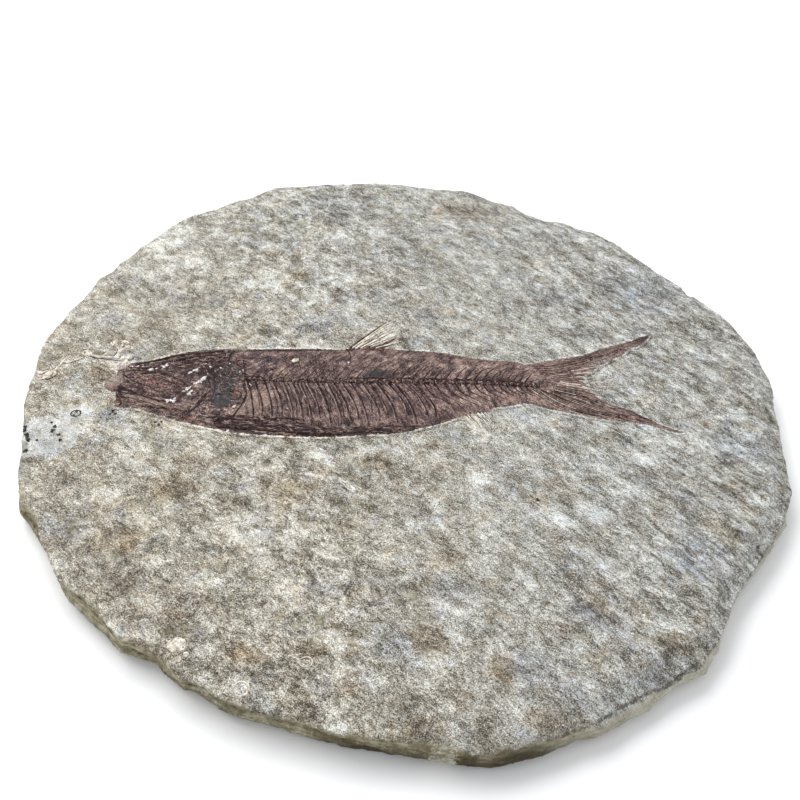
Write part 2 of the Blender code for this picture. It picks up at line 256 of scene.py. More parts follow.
places = points_of(stone)
height = places[:, 2] / split_face
group_by(stone, "face", np.clip((height - 0.93) / 0.05, 0, 1))
group_by(stone, "edge", np.clip((height - 0.03) / 0.05, 0, 1) * np.clip((1 - height) / 0.05, 0, 1))
group_by(stone, "all_but_base", np.clip((height - 0.02) / 0.05, 0, 1))
under_fish = depth_in(places[:, :2], fish_outline[::2]) > -0.9 * MM
under_fish &= places[:, 2] > 4.5 * MM
places[under_fish, 2] = 6.35 * MM
move_points(stone, places)
level = stone.modifiers.new("level", "SMOOTH")
level.use_x = level.use_y = False
level.iterations = 25
level.factor = 0.5
level.vertex_group = "face"
pick(stone)
bpy.ops.object.modifier_apply(modifier="level")

bpy.ops.object.empty_add()
beds = bpy.context.object
beds.scale = (1, 1, 0.16)
bpy.context.view_layer.update()
roughen(stone, "bed_ledges", 4 * MM, 0.4 * MM, "edge", guide=beds)
roughen(stone, "edge_chips", 3.2 * MM, 0.5 * MM, "edge")
roughen(stone, "edge_grain", 1.2 * MM, 0.25 * MM, "edge")
roughen(stone, "face_swells", 8 * MM, 0.6 * MM, "face", "Z")
roughen(stone, "face_lumps", 2.9 * MM, 0.5 * MM, "face", "Z")
roughen(stone, "face_grit", 1.3 * MM, 0.34 * MM, "face", "Z")
bpy.data.objects.remove(beds)

# Below the split face the beds stand out by different amounts round the edge: (bearing, millimetres).
lower_beds = (
    (-180, 0.3), (-160, 0), (-151, -1.3), (-141, 0), (-129, 0), (-118, -0.7), (-110, -1.1), (-102, -0.6),
    (-92, 0.5), (-84, 0.8), (-79, 1.4), (-74, 1.1), (-68, 1.6), (-61, 1.3), (-52, 0), (-30, 0.2), (0, 0.6),
    (90, 0.6), (135, 1), (180, 0.5),
)
worn_edge = ((-180, 0.3), (-95, 0.2), (-80, 0.7), (-70, 1.5), (-35, 1.6), (-10, 1), (40, 0.5), (180, 0.3))
rim_height = ((-180, 6), (-95, 6), (-80, 5.8), (-66, 5.4), (-35, 5), (-10, 5.2), (40, 5.8), (180, 6))
worn_reach = 3.4
places = points_of(stone)
bearings = np.degrees(np.arctan2(places[:, 1], places[:, 0]))
bearing_stops, stand_outs = np.array(lower_beds).T
stand_out = np.interp(bearings, bearing_stops, stand_outs) * MM
stand_out *= np.where(bearings > 0, 1, np.clip((6 * MM - places[:, 2]) / (1.6 * MM), 0, 1))
rim_depth = np.interp(bearings, *np.array(rim_height).T) - places[:, 2] / MM
slab_outline = evenly(smooth_through(outline_of("slab"), 6, closed=True), 1 * MM)
from_edge = np.clip(depth_in(places[:, :2], slab_outline) / MM / worn_reach, 0, 1)
worn = np.interp(bearings, *np.array(worn_edge).T) * MM * (1 - from_edge) ** 2
places[:, 2] -= worn * np.clip((places[:, 2] - 2.5 * MM) / (3.5 * MM), 0, 1)
reach = np.hypot(places[:, 0], places[:, 1])
places[:, :2] *= (1 + stand_out / np.maximum(reach, 1 * MM) * (reach > 70 * MM))[:, None]

# One scallop is knocked out of the front edge.
chip_centre, chip_reach, chip_turn, chip_depth = (-52.6, -66.4), (3.2, 1.8), -14, 1.5 * MM
x, y = (places[:, :2] / MM - chip_centre).T
turn = math.radians(chip_turn)
along, over = x * math.cos(turn) + y * math.sin(turn), y * math.cos(turn) - x * math.sin(turn)
chip = np.hypot(along, over * chip_reach[0] / chip_reach[1]) / chip_reach[0]
hollow = np.clip(1 - chip**2, 0, 1) - 0.22 * np.exp(-(((chip - 1.12) / 0.16) ** 2)) * (y > 0)
places[:, 2] -= chip_depth * hollow * (places[:, 2] > 3.5 * MM)

low, high = (np.array(corner) for corner in cad_box)
under = places[:, 2] < 0.3 * MM
dents = np.array([noise.noise(Vector(place) / (5 * MM)) for place in places[under]])
places[under, 2] = np.clip(dents, 0, 1) * 0.5 * MM
move_points(stone, np.clip(places, low, high))
stone.data.shade_smooth()
grounds = [BVHTree.FromObject(stone, bpy.context.evaluated_depsgraph_get())]


def ground_at(x, y):
    """Height of whatever is on top at a place in metres: the stone, or the skin of the fish."""
    hits = [tree.ray_cast(Vector((x, y, 0.02)), Vector((0, 0, -1)))[0] for tree in grounds]
    return max((hit.z for hit in hits if hit), default=split_face)


def tone(red, green, blue):
    """A colour given in display values from 0 to 255, as Blender's linear values."""
    values = (red / 255, green / 255, blue / 255)
    linear = [v / 12.92 if v <= 0.04045 else ((v + 0.055) / 1.055) ** 2.4 for v in values]
    return (*linear, 1)


def blots(points, places):
    """Oval blots that fade outwards, each as x, y, half length, half width, turn and strength."""
    total = np.zeros(len(points))
    for x0, y0, long, wide, turn, strength in places:
        x, y = (points[:, :2] / MM - (x0, y0)).T
        turn = math.radians(turn)
        along = (x * math.cos(turn) + y * math.sin(turn)) / long
        over = (y * math.cos(turn) - x * math.sin(turn)) / wide
        total = np.maximum(total, np.clip(1 - np.hypot(along, over), 0, 1) * strength)
    return total


def paint(piece, name, values):
    """Stores a value for each vertex, for the piece's material to read."""
    layer = piece.data.attributes.new(name, "FLOAT", "POINT")
    layer.data.foreach_set("value", np.asarray(values, np.float32))


def stain(piece):
    """The stone's own stains: chalky, bluish and brown patches of the split face."""
    points = points_of(piece)
    stains = {"pale_stain": pale_stains, "blue_stain": blue_stains, "brown_stain": brown_stains}
    for name, places in stains.items():
        paint(piece, name, np.clip(blots(points, places) * 1.6, 0, 1))


pale_stains = (
    (-79, -15.7, 8, 6.5, 0, 2.6), (-74.1, -9, 5, 3.5, 0, 2.2), (-66, 8, 3.4, 2.2, 0, 1.8),
    (-32, -40, 9, 4, 20, 2.2), (-64, -32, 4, 3.5, 0, 1.3), (12, -26, 4, 4, 0, 1.2),
    (24, -37.5, 8, 3.5, -22, 1.2), (-57, 44, 9, 7, 0, 1.1), (-35, 39, 9, 8, 0, 1),
    (-74, -50, 6, 6, 0, 0.9), (0, -69, 5, 4, 0, 0.9), (71, -7, 9, 4, -10, 0.9),
    (47, -63, 6, 3, -30, 1.2), (-36, -74, 6, 3, -20, 0.9), (-60, 55, 14, 6, 40, 0.9),
    (-51.8, -64, 4, 1.2, -14, 1.8), (-58.5, -62, 5, 1.2, -38, 1.2), (-46.6, -65.6, 2.2, 2, 0, 1.2),
)
blue_stains = (
    (-79, -15.7, 9, 7, 0, 2.2), (-74.1, -9, 5, 3, 0, 1.6), (-66.4, 8.8, 4, 2.4, 0, 1.8),
    (-65.5, -10, 5, 5, 0, 1), (-24, 22, 7, 5, 0, 1),
    (-9, -55, 6, 5, 0, 1), (-6, -68, 6, 5, 0, 1.1), (16, -71, 8, 5, -20, 1),
    (29, -60, 7, 4, -45, 1), (54, -48, 9, 7, -30, 1.1), (71, -18, 10, 8, 0, 0.9),
    (62, 38, 16, 14, -30, 1), (-71, -40, 7, 6, 0, 0.9), (3, -55, 6, 4, 0, 0.8),
    (-57, -53, 5, 3.5, 0, 1.3), (-19, 72, 14, 9, 0, 0.7), (39, 33, 9, 7, 0, 0.7),
)
brown_stains = (
    (-71, 3, 5, 5, 0, 0.7), (-61, -43, 6, 4.5, 0, 1.4), (-29, -31, 7, 5, 0, 1.1),
    (-51, -30, 7, 5, 0, 0.9), (2, -48, 6, 4, 0, 1), (-2, -65, 5, 3.5, -30, 1.4),
    (-4, -82, 5, 3, 0, 1.2), (60, -41, 6, 4, -45, 1.1), (-35, -68, 4, 3, 0, 1.2),
    (11, -71, 4, 3.5, 0, 1.3), (17, -81, 6, 3, 0, 1.1), (-23, -67, 4, 2.5, 0, 1.1),
    (44, -66, 5, 3, -20, 1.3), (-9, -23, 4, 4, 0, 1), (23, -33, 4, 3.5, 0, 1.2),
    (38, -60, 4, 4.5, 0, 1), (-63, -34, 6, 3, 0, 0.9), (-17, -75, 5, 3, 0, 0.8),
    (-27, 41, 4, 4, 0, 0.9), (20, 72, 18, 7, -10, 0.7), (-52.6, -66.4, 3.4, 2.2, -14, 1.4),
    (-57, -53, 4, 3, 0, 1), (31, -58, 5, 3, -45, 0.9), (-48, -59, 5, 3, 0, 0.8),
)
rim_crack = ((16.8, -83.9), (22.7, -82), (27.2, -80.3), (32.5, -77.3), (38.5, -74.6), (42, -72.9), (47.2, -69.7))
crack_reach = 0.8
pale_rims = ((-0.8, -86.4, 3, 3, 0, 2), (36, -74, 16, 3, 28, 1.4))
dark_rims = ((3.6, -86.6, 1.7, 2.6, 0, 2), (14, -86, 9, 2, 6, 1.2))
stain(stone)
paint(stone, "rim", rim_depth)
rim_points = points_of(stone)
paint(stone, "rim_pale", blots(rim_points, pale_rims))
paint(stone, "rim_dark", blots(rim_points, dark_rims))
crack_gap = np.full(len(rim_points), 10 * crack_reach)
beside = np.flatnonzero((rim_points[:, 1] < -45 * MM) & (rim_points[:, 0] > 5 * MM))
crack_gap[beside] = np.abs(depth_in(rim_points[beside, :2], smooth_through(rim_crack, 14) * MM)) / MM
paint(stone, "crack", np.clip(1 - crack_gap / crack_reach, 0, 1))


class Wiring:
    """Places shader nodes in a material or a node group and joins them."""

    def __init__(self, tree):
        self.tree = tree

    def add(self, kind, values=None, **settings):
        node = self.tree.nodes.new(kind)
        for name, value in settings.items():
            setattr(node, name, value)
        for socket, value in (values or {}).items():
            self.feed(node.inputs[socket], value)
        return node

    def feed(self, socket, value):
        if isinstance(value, bpy.types.NodeSocket):
            self.tree.links.new(value, socket)
        else:
            socket.default_value = value

    def sum(self, operation, *values):
        return self.add("ShaderNodeMath", dict(enumerate(values)), operation=operation).outputs[0]

    def plus(self, first, *others):
        for other in others:
            first = self.sum("ADD", first, other)
        return first

    def minus(self, first, second):
        return self.sum("SUBTRACT", first, second)

    def times(self, first, *others):
        for other in others:
            first = self.sum("MULTIPLY", first, other)
        return first

    def scaled(self, value, gain, bias):
        return self.sum("MULTIPLY_ADD", value, gain, bias)

    def step(self, value, start, end):
        """0 up to start, 1 from end, smooth between, whichever of the two is higher."""
        node = self.add("ShaderNodeMapRange", {"Value": value, "From Min": start, "From Max": end})
        node.interpolation_type = "SMOOTHSTEP"
        return node.outputs["Result"]

    def axes(self):
        """The piece's own X, Y and Z."""
        place = self.add("ShaderNodeTexCoord").outputs["Object"]
        return tuple(self.add("ShaderNodeSeparateXYZ", {0: place}).outputs)

    def noise(self, size, detail, roughness, distortion=0, turn=0, stretch=(1, 1, 1)):
        """Clouds of a size in millimetres, turned about Z and stretched along their own axes."""
        place = self.add("ShaderNodeTexCoord").outputs["Object"]
        values = {"Vector": place, "Rotation": (0, 0, math.radians(turn)), "Scale": stretch}
        place = self.add("ShaderNodeMapping", values, vector_type="TEXTURE").outputs["Vector"]
        values = {"Vector": place, "Scale": 1 / (size * MM), "Detail": detail, "Roughness": roughness}
        return self.add("ShaderNodeTexNoise", {**values, "Distortion": distortion}).outputs[0]

    def ramp(self, factor, *stops):
        node = self.add("ShaderNodeValToRGB", {0: factor})
        band = node.color_ramp
        while len(band.elements) < len(stops):
            band.elements.new(0.5)
        for element, (place, colour) in zip(band.elements, stops):
            element.position = place
            element.color = colour
        return node.outputs["Color"]

    def blend(self, factor, low, high):
        return self.add("ShaderNodeMix", {0: factor, 2: low, 3: high}).outputs[0]

    def mix(self, factor, first, second, blend="MIX"):
        node = self.add("ShaderNodeMix", data_type="RGBA", blend_type=blend)
        for socket, value in ((0, factor), (6, first), (7, second)):
            self.feed(node.inputs[socket], value)
        return node.outputs[2]

    def mask(self, name):
        return self.add("ShaderNodeAttribute", attribute_name=name).outputs["Fac"]

    def bump(self, shader, height, distance, strength):
        raised = self.add("ShaderNodeBump", {"Height": height, "Distance": distance, "Strength": strength})
        self.feed(shader.inputs["Normal"], raised.outputs[0])


def build_limestone_group():
    """The split face's colour and fine height, used by the stone and by the bare stone round the fish."""
    group = bpy.data.node_groups.new("limestone_face", "ShaderNodeTree")
    group.interface.new_socket("Color", in_out="OUTPUT", socket_type="NodeSocketColor")
    group.interface.new_socket("Height", in_out="OUTPUT", socket_type="NodeSocketFloat")
    w = Wiring(group)
    out = group.nodes.new("NodeGroupOutput")
    x, y, _ = w.axes()
    east, west = w.step(x, -30 * MM, 50 * MM), w.step(x, 20 * MM, -50 * MM)
    north = w.step(w.plus(y, w.times(x, 0.5)), -60 * MM, 80 * MM)

    # Grey levels: mottles, combed into slanting streaks towards the tail's end, with strokes and grain on them.
    broad = w.noise(15, 2, 0.6)
    mottled = w.noise(4, 5, 0.92, 0.3, -32, (1.2, 0.88, 1))
    combed = w.noise(3.8, 5, 0.92, 0.3, -45, (1.6, 0.76, 1))
    strokes = w.noise(0.7, 2, 0.8, turn=-45, stretch=(2.1, 0.62, 1))
    grain = w.noise(0.24, 1, 0.8)
    calm = w.scaled(w.step(x, -60 * MM, -20 * MM), 0.24, 0.7)
    mottled = w.scaled(w.minus(mottled, 0.5), calm, 0.5)
    combed = w.scaled(w.minus(combed, 0.5), 0.86, 0.5)
    total = w.plus(w.times(w.blend(east, mottled, combed), 1.04), w.times(grain, 0.56))
    total = w.plus(total, w.scaled(strokes, 0.22, -0.063), w.scaled(broad, 0.1, -0.397))

    # Stains lift or sink the grey and give it a tint.
    broken = w.scaled(w.noise(2.4, 4, 0.85), 3.2, -1.6)
    stains = (w.mask("pale_stain"), w.mask("brown_stain"), w.mask("blue_stain"))
    pale, brown, blue = (w.step(w.plus(stained, broken), 0.1, 1) for stained in stains)
    total = w.minus(w.plus(total, w.scaled(pale, 0.058, 0.004)), w.times(brown, 0.034))
    colour = w.ramp(
        total,
        (0.36, tone(70, 65, 56)),
        (0.43, tone(118, 111, 99)),
        (0.50, tone(160, 155, 143)),
        (0.57, tone(194, 191, 181)),
        (0.65, tone(238, 237, 231)),
    )
    warm = w.step(w.noise(6.5, 4, 0.75, 0.4), 0.48, 0.66)
    warm = w.plus(w.times(warm, 0.36), w.times(brown, 0.4))
    cool = w.step(w.noise(7.5, 4, 0.75, 0.4, 70), 0.5, 0.66)
    cool = w.plus(w.times(cool, 0.5), w.times(blue, 0.45))
    colour = w.mix(warm, colour, tone(242, 220, 192), "MULTIPLY")
    colour = w.mix(cool, colour, tone(216, 224, 244), "MULTIPLY")

    # Chalk lies in soft folds where a pale and a blue stain meet.
    folds = w.scaled(w.noise(2.6, 4, 0.8, turn=-30, stretch=(1.6, 0.7, 1)), 4, -2)
    chalk = w.step(w.plus(w.times(stains[0], stains[2]), folds), 0.1, 1.5)
    chalk = w.times(chalk, stains[2], pale, 0.38)
    colour = w.mix(chalk, colour, tone(219, 226, 227))
    # Painted sky sheen: towards the back and the right the face is tinted cooler, a painted reflection of the sky;
    # towards the left it is tinted a little warmer.
    painted_sky_sheen = w.times(w.sum("MAXIMUM", north, east), 0.75)
    colour = w.mix(w.times(west, 0.3), colour, tone(255, 250, 238), "MULTIPLY")
    colour = w.mix(painted_sky_sheen, colour, tone(241, 247, 255), "MULTIPLY")
    w.feed(out.inputs["Color"], colour)
    w.feed(out.inputs["Height"], w.plus(w.times(grain, 0.25), w.times(combed, 0.75)))
    return group


limestone_group = build_limestone_group()


def finish_for(name):
    """A new material with a wiring to fill it and its Principled shader."""
    made = bpy.data.materials.new(name)
    made.use_nodes = True
    return made, Wiring(made.node_tree), made.node_tree.nodes["Principled BSDF"]


def dress(piece, finish):
    """Gives a finished piece its one material and fixes it to the slab."""
    piece.data.materials.clear()
    piece.data.materials.append(finish)
    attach(piece, "root")


# The edge: olive beds, weathered pale to the right and lightened there further as painted light, with painted shade low
# down by the table, darkest at the front.
limestone, w, shader = finish_for("limestone")
face = w.add("ShaderNodeGroup", node_tree=limestone_group)
x, y, z = w.axes()
rough_noise = w.noise(1.6, 4, 0.85)
rim_noise = w.plus(w.times(w.noise(4.5, 4, 0.7, stretch=(1, 1, 0.12)), 0.5), w.times(rough_noise, 0.5))
beds_tone = w.ramp(
    rim_noise,
    (0.38, tone(84, 78, 56)),
    (0.46, tone(122, 115, 90)),
    (0.53, tone(154, 147, 122)),
    (0.62, tone(196, 190, 170)),
)
# To the right the edge is weathered pale, and it is lightened further there as painted light on that side.
weathered_and_painted_light = w.mix(0.4, w.mix(0.66, beds_tone, tone(244, 240, 222)), face.outputs["Color"])
beds_tone = w.mix(w.times(w.step(x, 5 * MM, 45 * MM), 0.95), beds_tone, weathered_and_painted_light)
# Painted shade: the edge is darkened towards its foot, where it meets the table.
painted_low_shade = w.step(z, 3.2 * MM, 0.4 * MM)
beds_tone = w.mix(w.times(painted_low_shade, 0.6), beds_tone, tone(170, 162, 140), "MULTIPLY")
# Painted shade: the front of the edge, below the split face, is darkened.
front = w.times(w.step(x, -24 * MM, -16 * MM), w.step(x, 24 * MM, 13 * MM), w.step(y, -70 * MM, -80 * MM))
under = w.times(front, w.step(z, 6 * MM, 2 * MM), 0.85)
beds_tone = w.mix(under, beds_tone, tone(132, 122, 100), "MULTIPLY")
broken = w.scaled(rough_noise, 3, -1.5)
pale_chip, dark_chip = (w.step(w.plus(w.mask(name), broken), 0.2, 0.9) for name in ("rim_pale", "rim_dark"))
pale_bed = w.ramp(rough_noise, (0.4, tone(156, 149, 126)), (0.6, tone(232, 228, 212)))
beds_tone = w.mix(w.times(pale_chip, 0.6), beds_tone, pale_bed)
beds_tone = w.mix(w.times(dark_chip, 0.7), beds_tone, tone(62, 56, 38))

# The face runs into the edge along a wandering line, and one parting has opened along the front; its gap is painted
# shade, a dark line in the colour with no groove in the stone.
wander = w.scaled(w.noise(2.5, 3, 0.7), 2.4, -1.2)
on_edge = w.step(w.plus(w.mask("rim"), wander), -0.3, 0.4)
dressed = w.mix(on_edge, face.outputs["Color"], beds_tone)
# Painted shade along the crack.
painted_crack_shade = w.step(w.plus(w.mask("crack"), w.times(broken, 0.6)), 0.45, 0.85)
w.feed(shader.inputs["Base Color"], w.mix(w.times(painted_crack_shade, 0.8), dressed, tone(74, 68, 56)))
shader.inputs["Roughness"].default_value = 0.92
shader.inputs["Specular IOR Level"].default_value = 0.25
w.bump(shader, face.outputs["Height"], 1 * MM, 1)
dress(stone, limestone)
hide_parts("slab")

# ------------------------------------------------------------
# The skin of the fish: a thin carbon film, brown and flaking, pressed flat in the bed of the stone. A pale
# scraped rim of stone, left by the preparer's needle, runs round it.
film_step = 0.2 * MM
film_rim = 0.9 * MM           # how far the scraped stone reaches past the film
film_fill = 4 * MM          # the skin rises from its edge over this distance
edge_height, fill_height = 6.58 * MM, 6.82 * MM
rim_dip = 0.1 * MM            # the outer edge of the scraped stone passes under the split face by this much


def skin_height(places, depth):
    """Height of the film and of the scraped stone round it, by the depth inside the outline."""
    rise = np.clip(depth / film_fill, 0, 1)
    inner = edge_height + (fill_height - edge_height) * np.sin(rise * math.pi / 2)
    around = np.array([ground_at(x, y) if d < 0 else 0 for (x, y), d in zip(places, depth)])
    scraped = np.maximum(edge_height, around + 0.03 * MM)
    fall = np.clip(-2 * depth / film_rim - 1, 0, 1)
    return np.where(depth >= 0, inner, scraped + (around - rim_dip - scraped) * fall)


fish_low, fish_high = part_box("fish")
span = fish_high - fish_low
middle = (fish_low + fish_high) / 2
wide, deep = span.x + 2.6 * MM, span.y + 2.6 * MM
bpy.ops.mesh.primitive_grid_add(
    x_subdivisions=round(wide / film_step),
    y_subdivisions=round(deep / film_step),
    size=1,
    location=(middle.x, middle.y, 0),
)
film = bpy.context.object
film.name = "film"
film.scale = (wide, deep, 1)
bpy.ops.object.transform_apply(location=True, scale=True)
flat = points_of(film)[:, :2]
near = depth_in(flat, fish_outline[::2]) > -film_rim
film.data.vertices.foreach_set("select", ~near)
film.data.edges.foreach_set("select", np.zeros(len(film.data.edges), bool))
film.data.polygons.foreach_set("select", np.zeros(len(film.data.polygons), bool))
bpy.ops.object.mode_set(mode="EDIT")
bpy.ops.mesh.select_mode(type="VERT")
bpy.ops.mesh.delete(type="VERT")
bpy.ops.object.mode_set(mode="OBJECT")

skin = points_of(film)
ragged_depth = depth_in(skin[:, :2], fish_outline)
skin[:, 2] = skin_height(skin[:, :2], ragged_depth)
move_points(film, skin)

# The two fins have no skin: their rays lie on bare stone.
x, y = skin[:, 0] / MM, skin[:, 1] / MM
back_fin_area = np.clip((y - 13.2) / 0.5, 0, 1) * (np.abs(x + 8.5) < 9)
vent_fin_area = np.clip((-8.2 + 0.3 * (x - 13) - y) / 0.4, 0, 1) * (np.abs(x - 13.6) < 4.2)
stain(film)
needle_lines = (
    (-33, -15, 34, 5, -2, 1.8), (-60, -8, 8, 3, -20, 0.9), (2, -12.5, 12, 3, 14, 1),        # all along the belly
    (-28, 12.8, 16, 2.6, 2, 1.3), (-57, 8.8, 10, 2.6, 18, 0.8), (4, 12.6, 12, 2.4, -5, 0.9),        # and the back
    (26, -5.2, 12, 2.4, 14, 0.5), (36, -8.4, 10, 2.4, -14, 0.45),
)
fork_gaps = ((42.6, 2, 4.6, 6, 0, 1.7), (46, 8, 5, 2.2, 24, 1))
jaw_gap = ((-67.6, -4.6, 1.8, 3, 0, 1.6),)
faded_patches = (
    (-67.8, 1.4, 3, 3.2, 0, 1.1), (-67.4, 6.2, 3.6, 3.6, 0, 1.25), (-45, -11.2, 7, 1.4, -24, 0.6),        # the snout
    (54, 14.6, 5, 1.6, 28, 0.7), (58, -14.2, 6, 1.4, -26, 0.7), (44, 9.4, 6, 1.6, 26, 1),        # the tail's tips
)
dark_patches = (
    (-33, -12.8, 17, 3, -8, 2), (-40.5, -11.6, 7, 2.8, 8, 1.5), (-9, -13.6, 17, 1.9, 2, 1.7),        # the belly
    (-53, 7.6, 14, 4, 12, 1.9), (-46, 6, 8, 5.6, 20, 1.5), (-47.6, 8.4, 4, 1.6, 20, 1),        # the skull's roof
    (-52, -2.4, 3.4, 2.6, -50, 1), (-63, 4.6, 4, 1.6, 10, 1.2), (-63.6, 5.2, 2.6, 1.6, 20, 1),        # its front
    (-51.6, 3, 4, 2.2, -50, 1.1), (-55, -4.4, 4.6, 1.4, -22, 1.5), (-62.6, -1.2, 4, 0.9, -26, 1.3),
    (-65.6, -2.4, 1.8, 4, 0, 1.3), (-53, -9.2, 6, 1, -26, 0.9),        # the jaws
    (-28, -4, 3.4, 3, -40, 1), (-24, -7.4, 3, 3.4, -30, 0.8), (-11.5, -4, 5, 2.8, -50, 0.7),        # the ribs
    (-1, -6, 5, 4, 40, 0.6), (5.5, -9.6, 7, 1.4, 24, 0.8),
    (-7.5, 3.8, 6, 2.4, 12, 1.1), (19.5, 2.6, 8, 3, 0, 1), (8, 10.8, 17, 1.2, -8, 0.6), (-27, 12.2, 13, 0.9, 3, 1),
    (36.5, -3.6, 8, 2.2, -32, 1.1), (41.5, 11.4, 13, 1.6, 24, 1.1), (52, -9, 11, 1.4, -27, 1.3),        # the tail
    (57, 18, 6, 1.5, 28, 1.4),
)
scute_patches = (        # the keeled scutes of the breast and belly, and the blackest stretches by the backbone
    (-31, -13.2, 17, 2.8, -7, 2.2), (-7, -14.2, 16, 1.5, 3, 2), (20, 1.8, 7, 1.8, -4, 1.5), (-8.5, 4.2, 4, 1.8, 12, 1),
)
tan_patches = (
    (-35, -5, 4.4, 6.6, -14, 1.5), (-39, -8, 2.2, 3.6, -24, 1.2),        # the flesh between the first ribs
    (-59, -5.6, 8, 1.8, -20, 1.5), (-51.5, -7.6, 4.6, 2, -26, 0.8),        # the lower jaw
    (-21, -9.6, 4, 2.4, 0, 0.7), (-30, 5.2, 7, 2.6, 10, 0.6), (6, 8, 14, 2.6, -6, 0.8), (12, -4, 9, 3, 20, 0.6),
    (36.5, 1.6, 4, 1.6, 0, 0.8), (40, 6.4, 5, 1.8, 24, 0.9), (22, -3.4, 7, 1.6, 16, 0.8),
    (30, 7.2, 6, 2, 0, 0.7), (45, -8.2, 6, 1.6, -27, 0.7),
)
slate_patches = (
    (-42.5, 3, 3.6, 3.6, 0, 3.2), (-43.7, -2.6, 2.6, 5, 4, 3.6), (-46, 1, 3, 2.6, 0, 2),        # where the gills were
    (-9, 4.4, 3.6, 1.8, 10, 0.34), (17, 2.4, 6, 1.8, 0, 0.3),
)
red_patches = (
    (-40.6, -2.9, 1.9, 1.9, 0, 1.6), (-57, 0.4, 8, 4, -16, 1.1),        # the shoulder, and round the eye
    (-50, -9.4, 8, 3, -26, 0.9), (24, 8.6, 8, 0.9, -4, 0.8),
)
pink_patches = ((-68.6, 0.6, 3.2, 4, 0, 2), (24, -5.4, 9, 1, 14, 0.7))
painted = {
    "faded": faded_patches,
    "dark": dark_patches,
    "scutes": scute_patches,
    "tan": tan_patches,
    "slate": slate_patches,
    "red": red_patches,
    "pink": pink_patches,
}
for name, places in painted.items():
    paint(film, name, blots(skin, places))
paint(film, "needled", np.clip(0.06 + 0.85 * blots(skin, needle_lines), 0, 0.85))
paint(film, "skin_depth", ragged_depth / MM)
bare_gaps = (np.clip(blots(skin, fork_gaps), 0, 0.9), np.clip(blots(skin, jaw_gap), 0, 1))
paint(film, "bare", np.max((back_fin_area, vent_fin_area, *bare_gaps), axis=0))
group_by(film, "upper", np.clip(ragged_depth / (0.4 * MM), 0, 1))
roughen(film, "skin_puckers", 2.2 * MM, 0.16 * MM, "upper", "Z")
roughen(film, "skin_grit", 0.8 * MM, 0.09 * MM, "upper", "Z")

bpy.ops.object.mode_set(mode="EDIT")
bpy.ops.mesh.select_mode(type="EDGE")
bpy.ops.mesh.select_all(action="DESELECT")
other_kinds = dict(use_wire=False, use_multi_face=False, use_non_contiguous=False, use_verts=False)
bpy.ops.mesh.select_non_manifold(extend=False, **other_kinds)
bpy.ops.mesh.extrude_edges_move(TRANSFORM_OT_translate={"value": (0, 0, -0.2 * MM)})
bpy.ops.mesh.fill()
bpy.ops.mesh.select_all(action="SELECT")
bpy.ops.mesh.normals_make_consistent(inside=False)
bpy.ops.object.mode_set(mode="OBJECT")
film.data.shade_smooth()

carbon_film, w, shader = finish_for("carbon_film")
face = w.add("ShaderNodeGroup", node_tree=limestone_group)
x, y, _ = w.axes()
in_head = w.step(x, -37 * MM, -41 * MM)
in_tail = w.step(x, 26 * MM, 34 * MM)
behind = w.step(x, 0, 14 * MM)
# The skin's grain follows the fish: down its length on the head, leaning back above the backbone, down the ribs.
head_grain, back_grain, rib_grain = (w.noise(1.1, 3, 0.8, turn=turn, stretch=(3, 0.7, 1)) for turn in (-14, 42, -70))
tail_grain = w.noise(1.1, 3, 0.8, stretch=(4, 0.6, 1))
grain = w.blend(w.step(y, 2.2 * MM, 1.2 * MM), back_grain, rib_grain)
grain = w.blend(in_tail, w.blend(in_head, grain, head_grain), tail_grain)
mottle = w.noise(3.2, 5, 0.8)
speckle = w.noise(0.24, 1, 0.8)
crackle = w.noise(0.8, 3, 0.95, 0.5)
shade = w.plus(w.times(mottle, 0.54), w.times(grain, 0.5), w.scaled(speckle, 0.43, -0.248))
shade = w.plus(shade, w.scaled(behind, 0.034, -0.003), w.times(in_tail, 0.026))
shade = w.plus(shade, w.times(w.minus(crackle, 0.5), w.scaled(in_head, 0.46, 0.14)))
flesh = w.ramp(
    shade,
    (0.36, tone(28, 19, 22)),
    (0.44, tone(66, 50, 50)),
    (0.50, tone(101, 82, 79)),
    (0.57, tone(134, 111, 104)),
    (0.66, tone(186, 164, 152)),
)


def patch(name, low, high, amount, breaks=mottle):
    """A painted mask with its edge broken up by a noise, and how strongly it shows."""
    ragged = w.plus(w.mask(name), w.scaled(breaks, 3, -1.5))
    return w.times(w.step(ragged, low, high), w.step(w.mask(name), 0, 0.12), amount)


flesh = w.mix(patch("red", 0.2, 0.9, 0.7), flesh, tone(255, 226, 214), "MULTIPLY")
flesh = w.mix(patch("pink", 0.2, 0.9, 0.6), flesh, tone(146, 116, 106))
flesh = w.mix(patch("tan", 0.2, 1, 0.294), flesh, tone(182, 157, 138))
flesh = w.mix(patch("dark", 0.2, 0.9, 0.9), flesh, tone(142, 128, 134), "MULTIPLY")
flesh = w.mix(patch("scutes", 0.2, 1, 0.7), flesh, tone(48, 37, 42))
flesh = w.mix(patch("slate", -0.3, 0.5, 0.836, crackle), flesh, tone(46, 47, 51))
depth = w.plus(w.mask("skin_depth"), w.scaled(w.noise(1.1, 4, 0.85), 2.2, -1.1))
flesh = w.mix(w.times(w.step(depth, 0.7, 0.1), 0.4), flesh, tone(52, 38, 38))

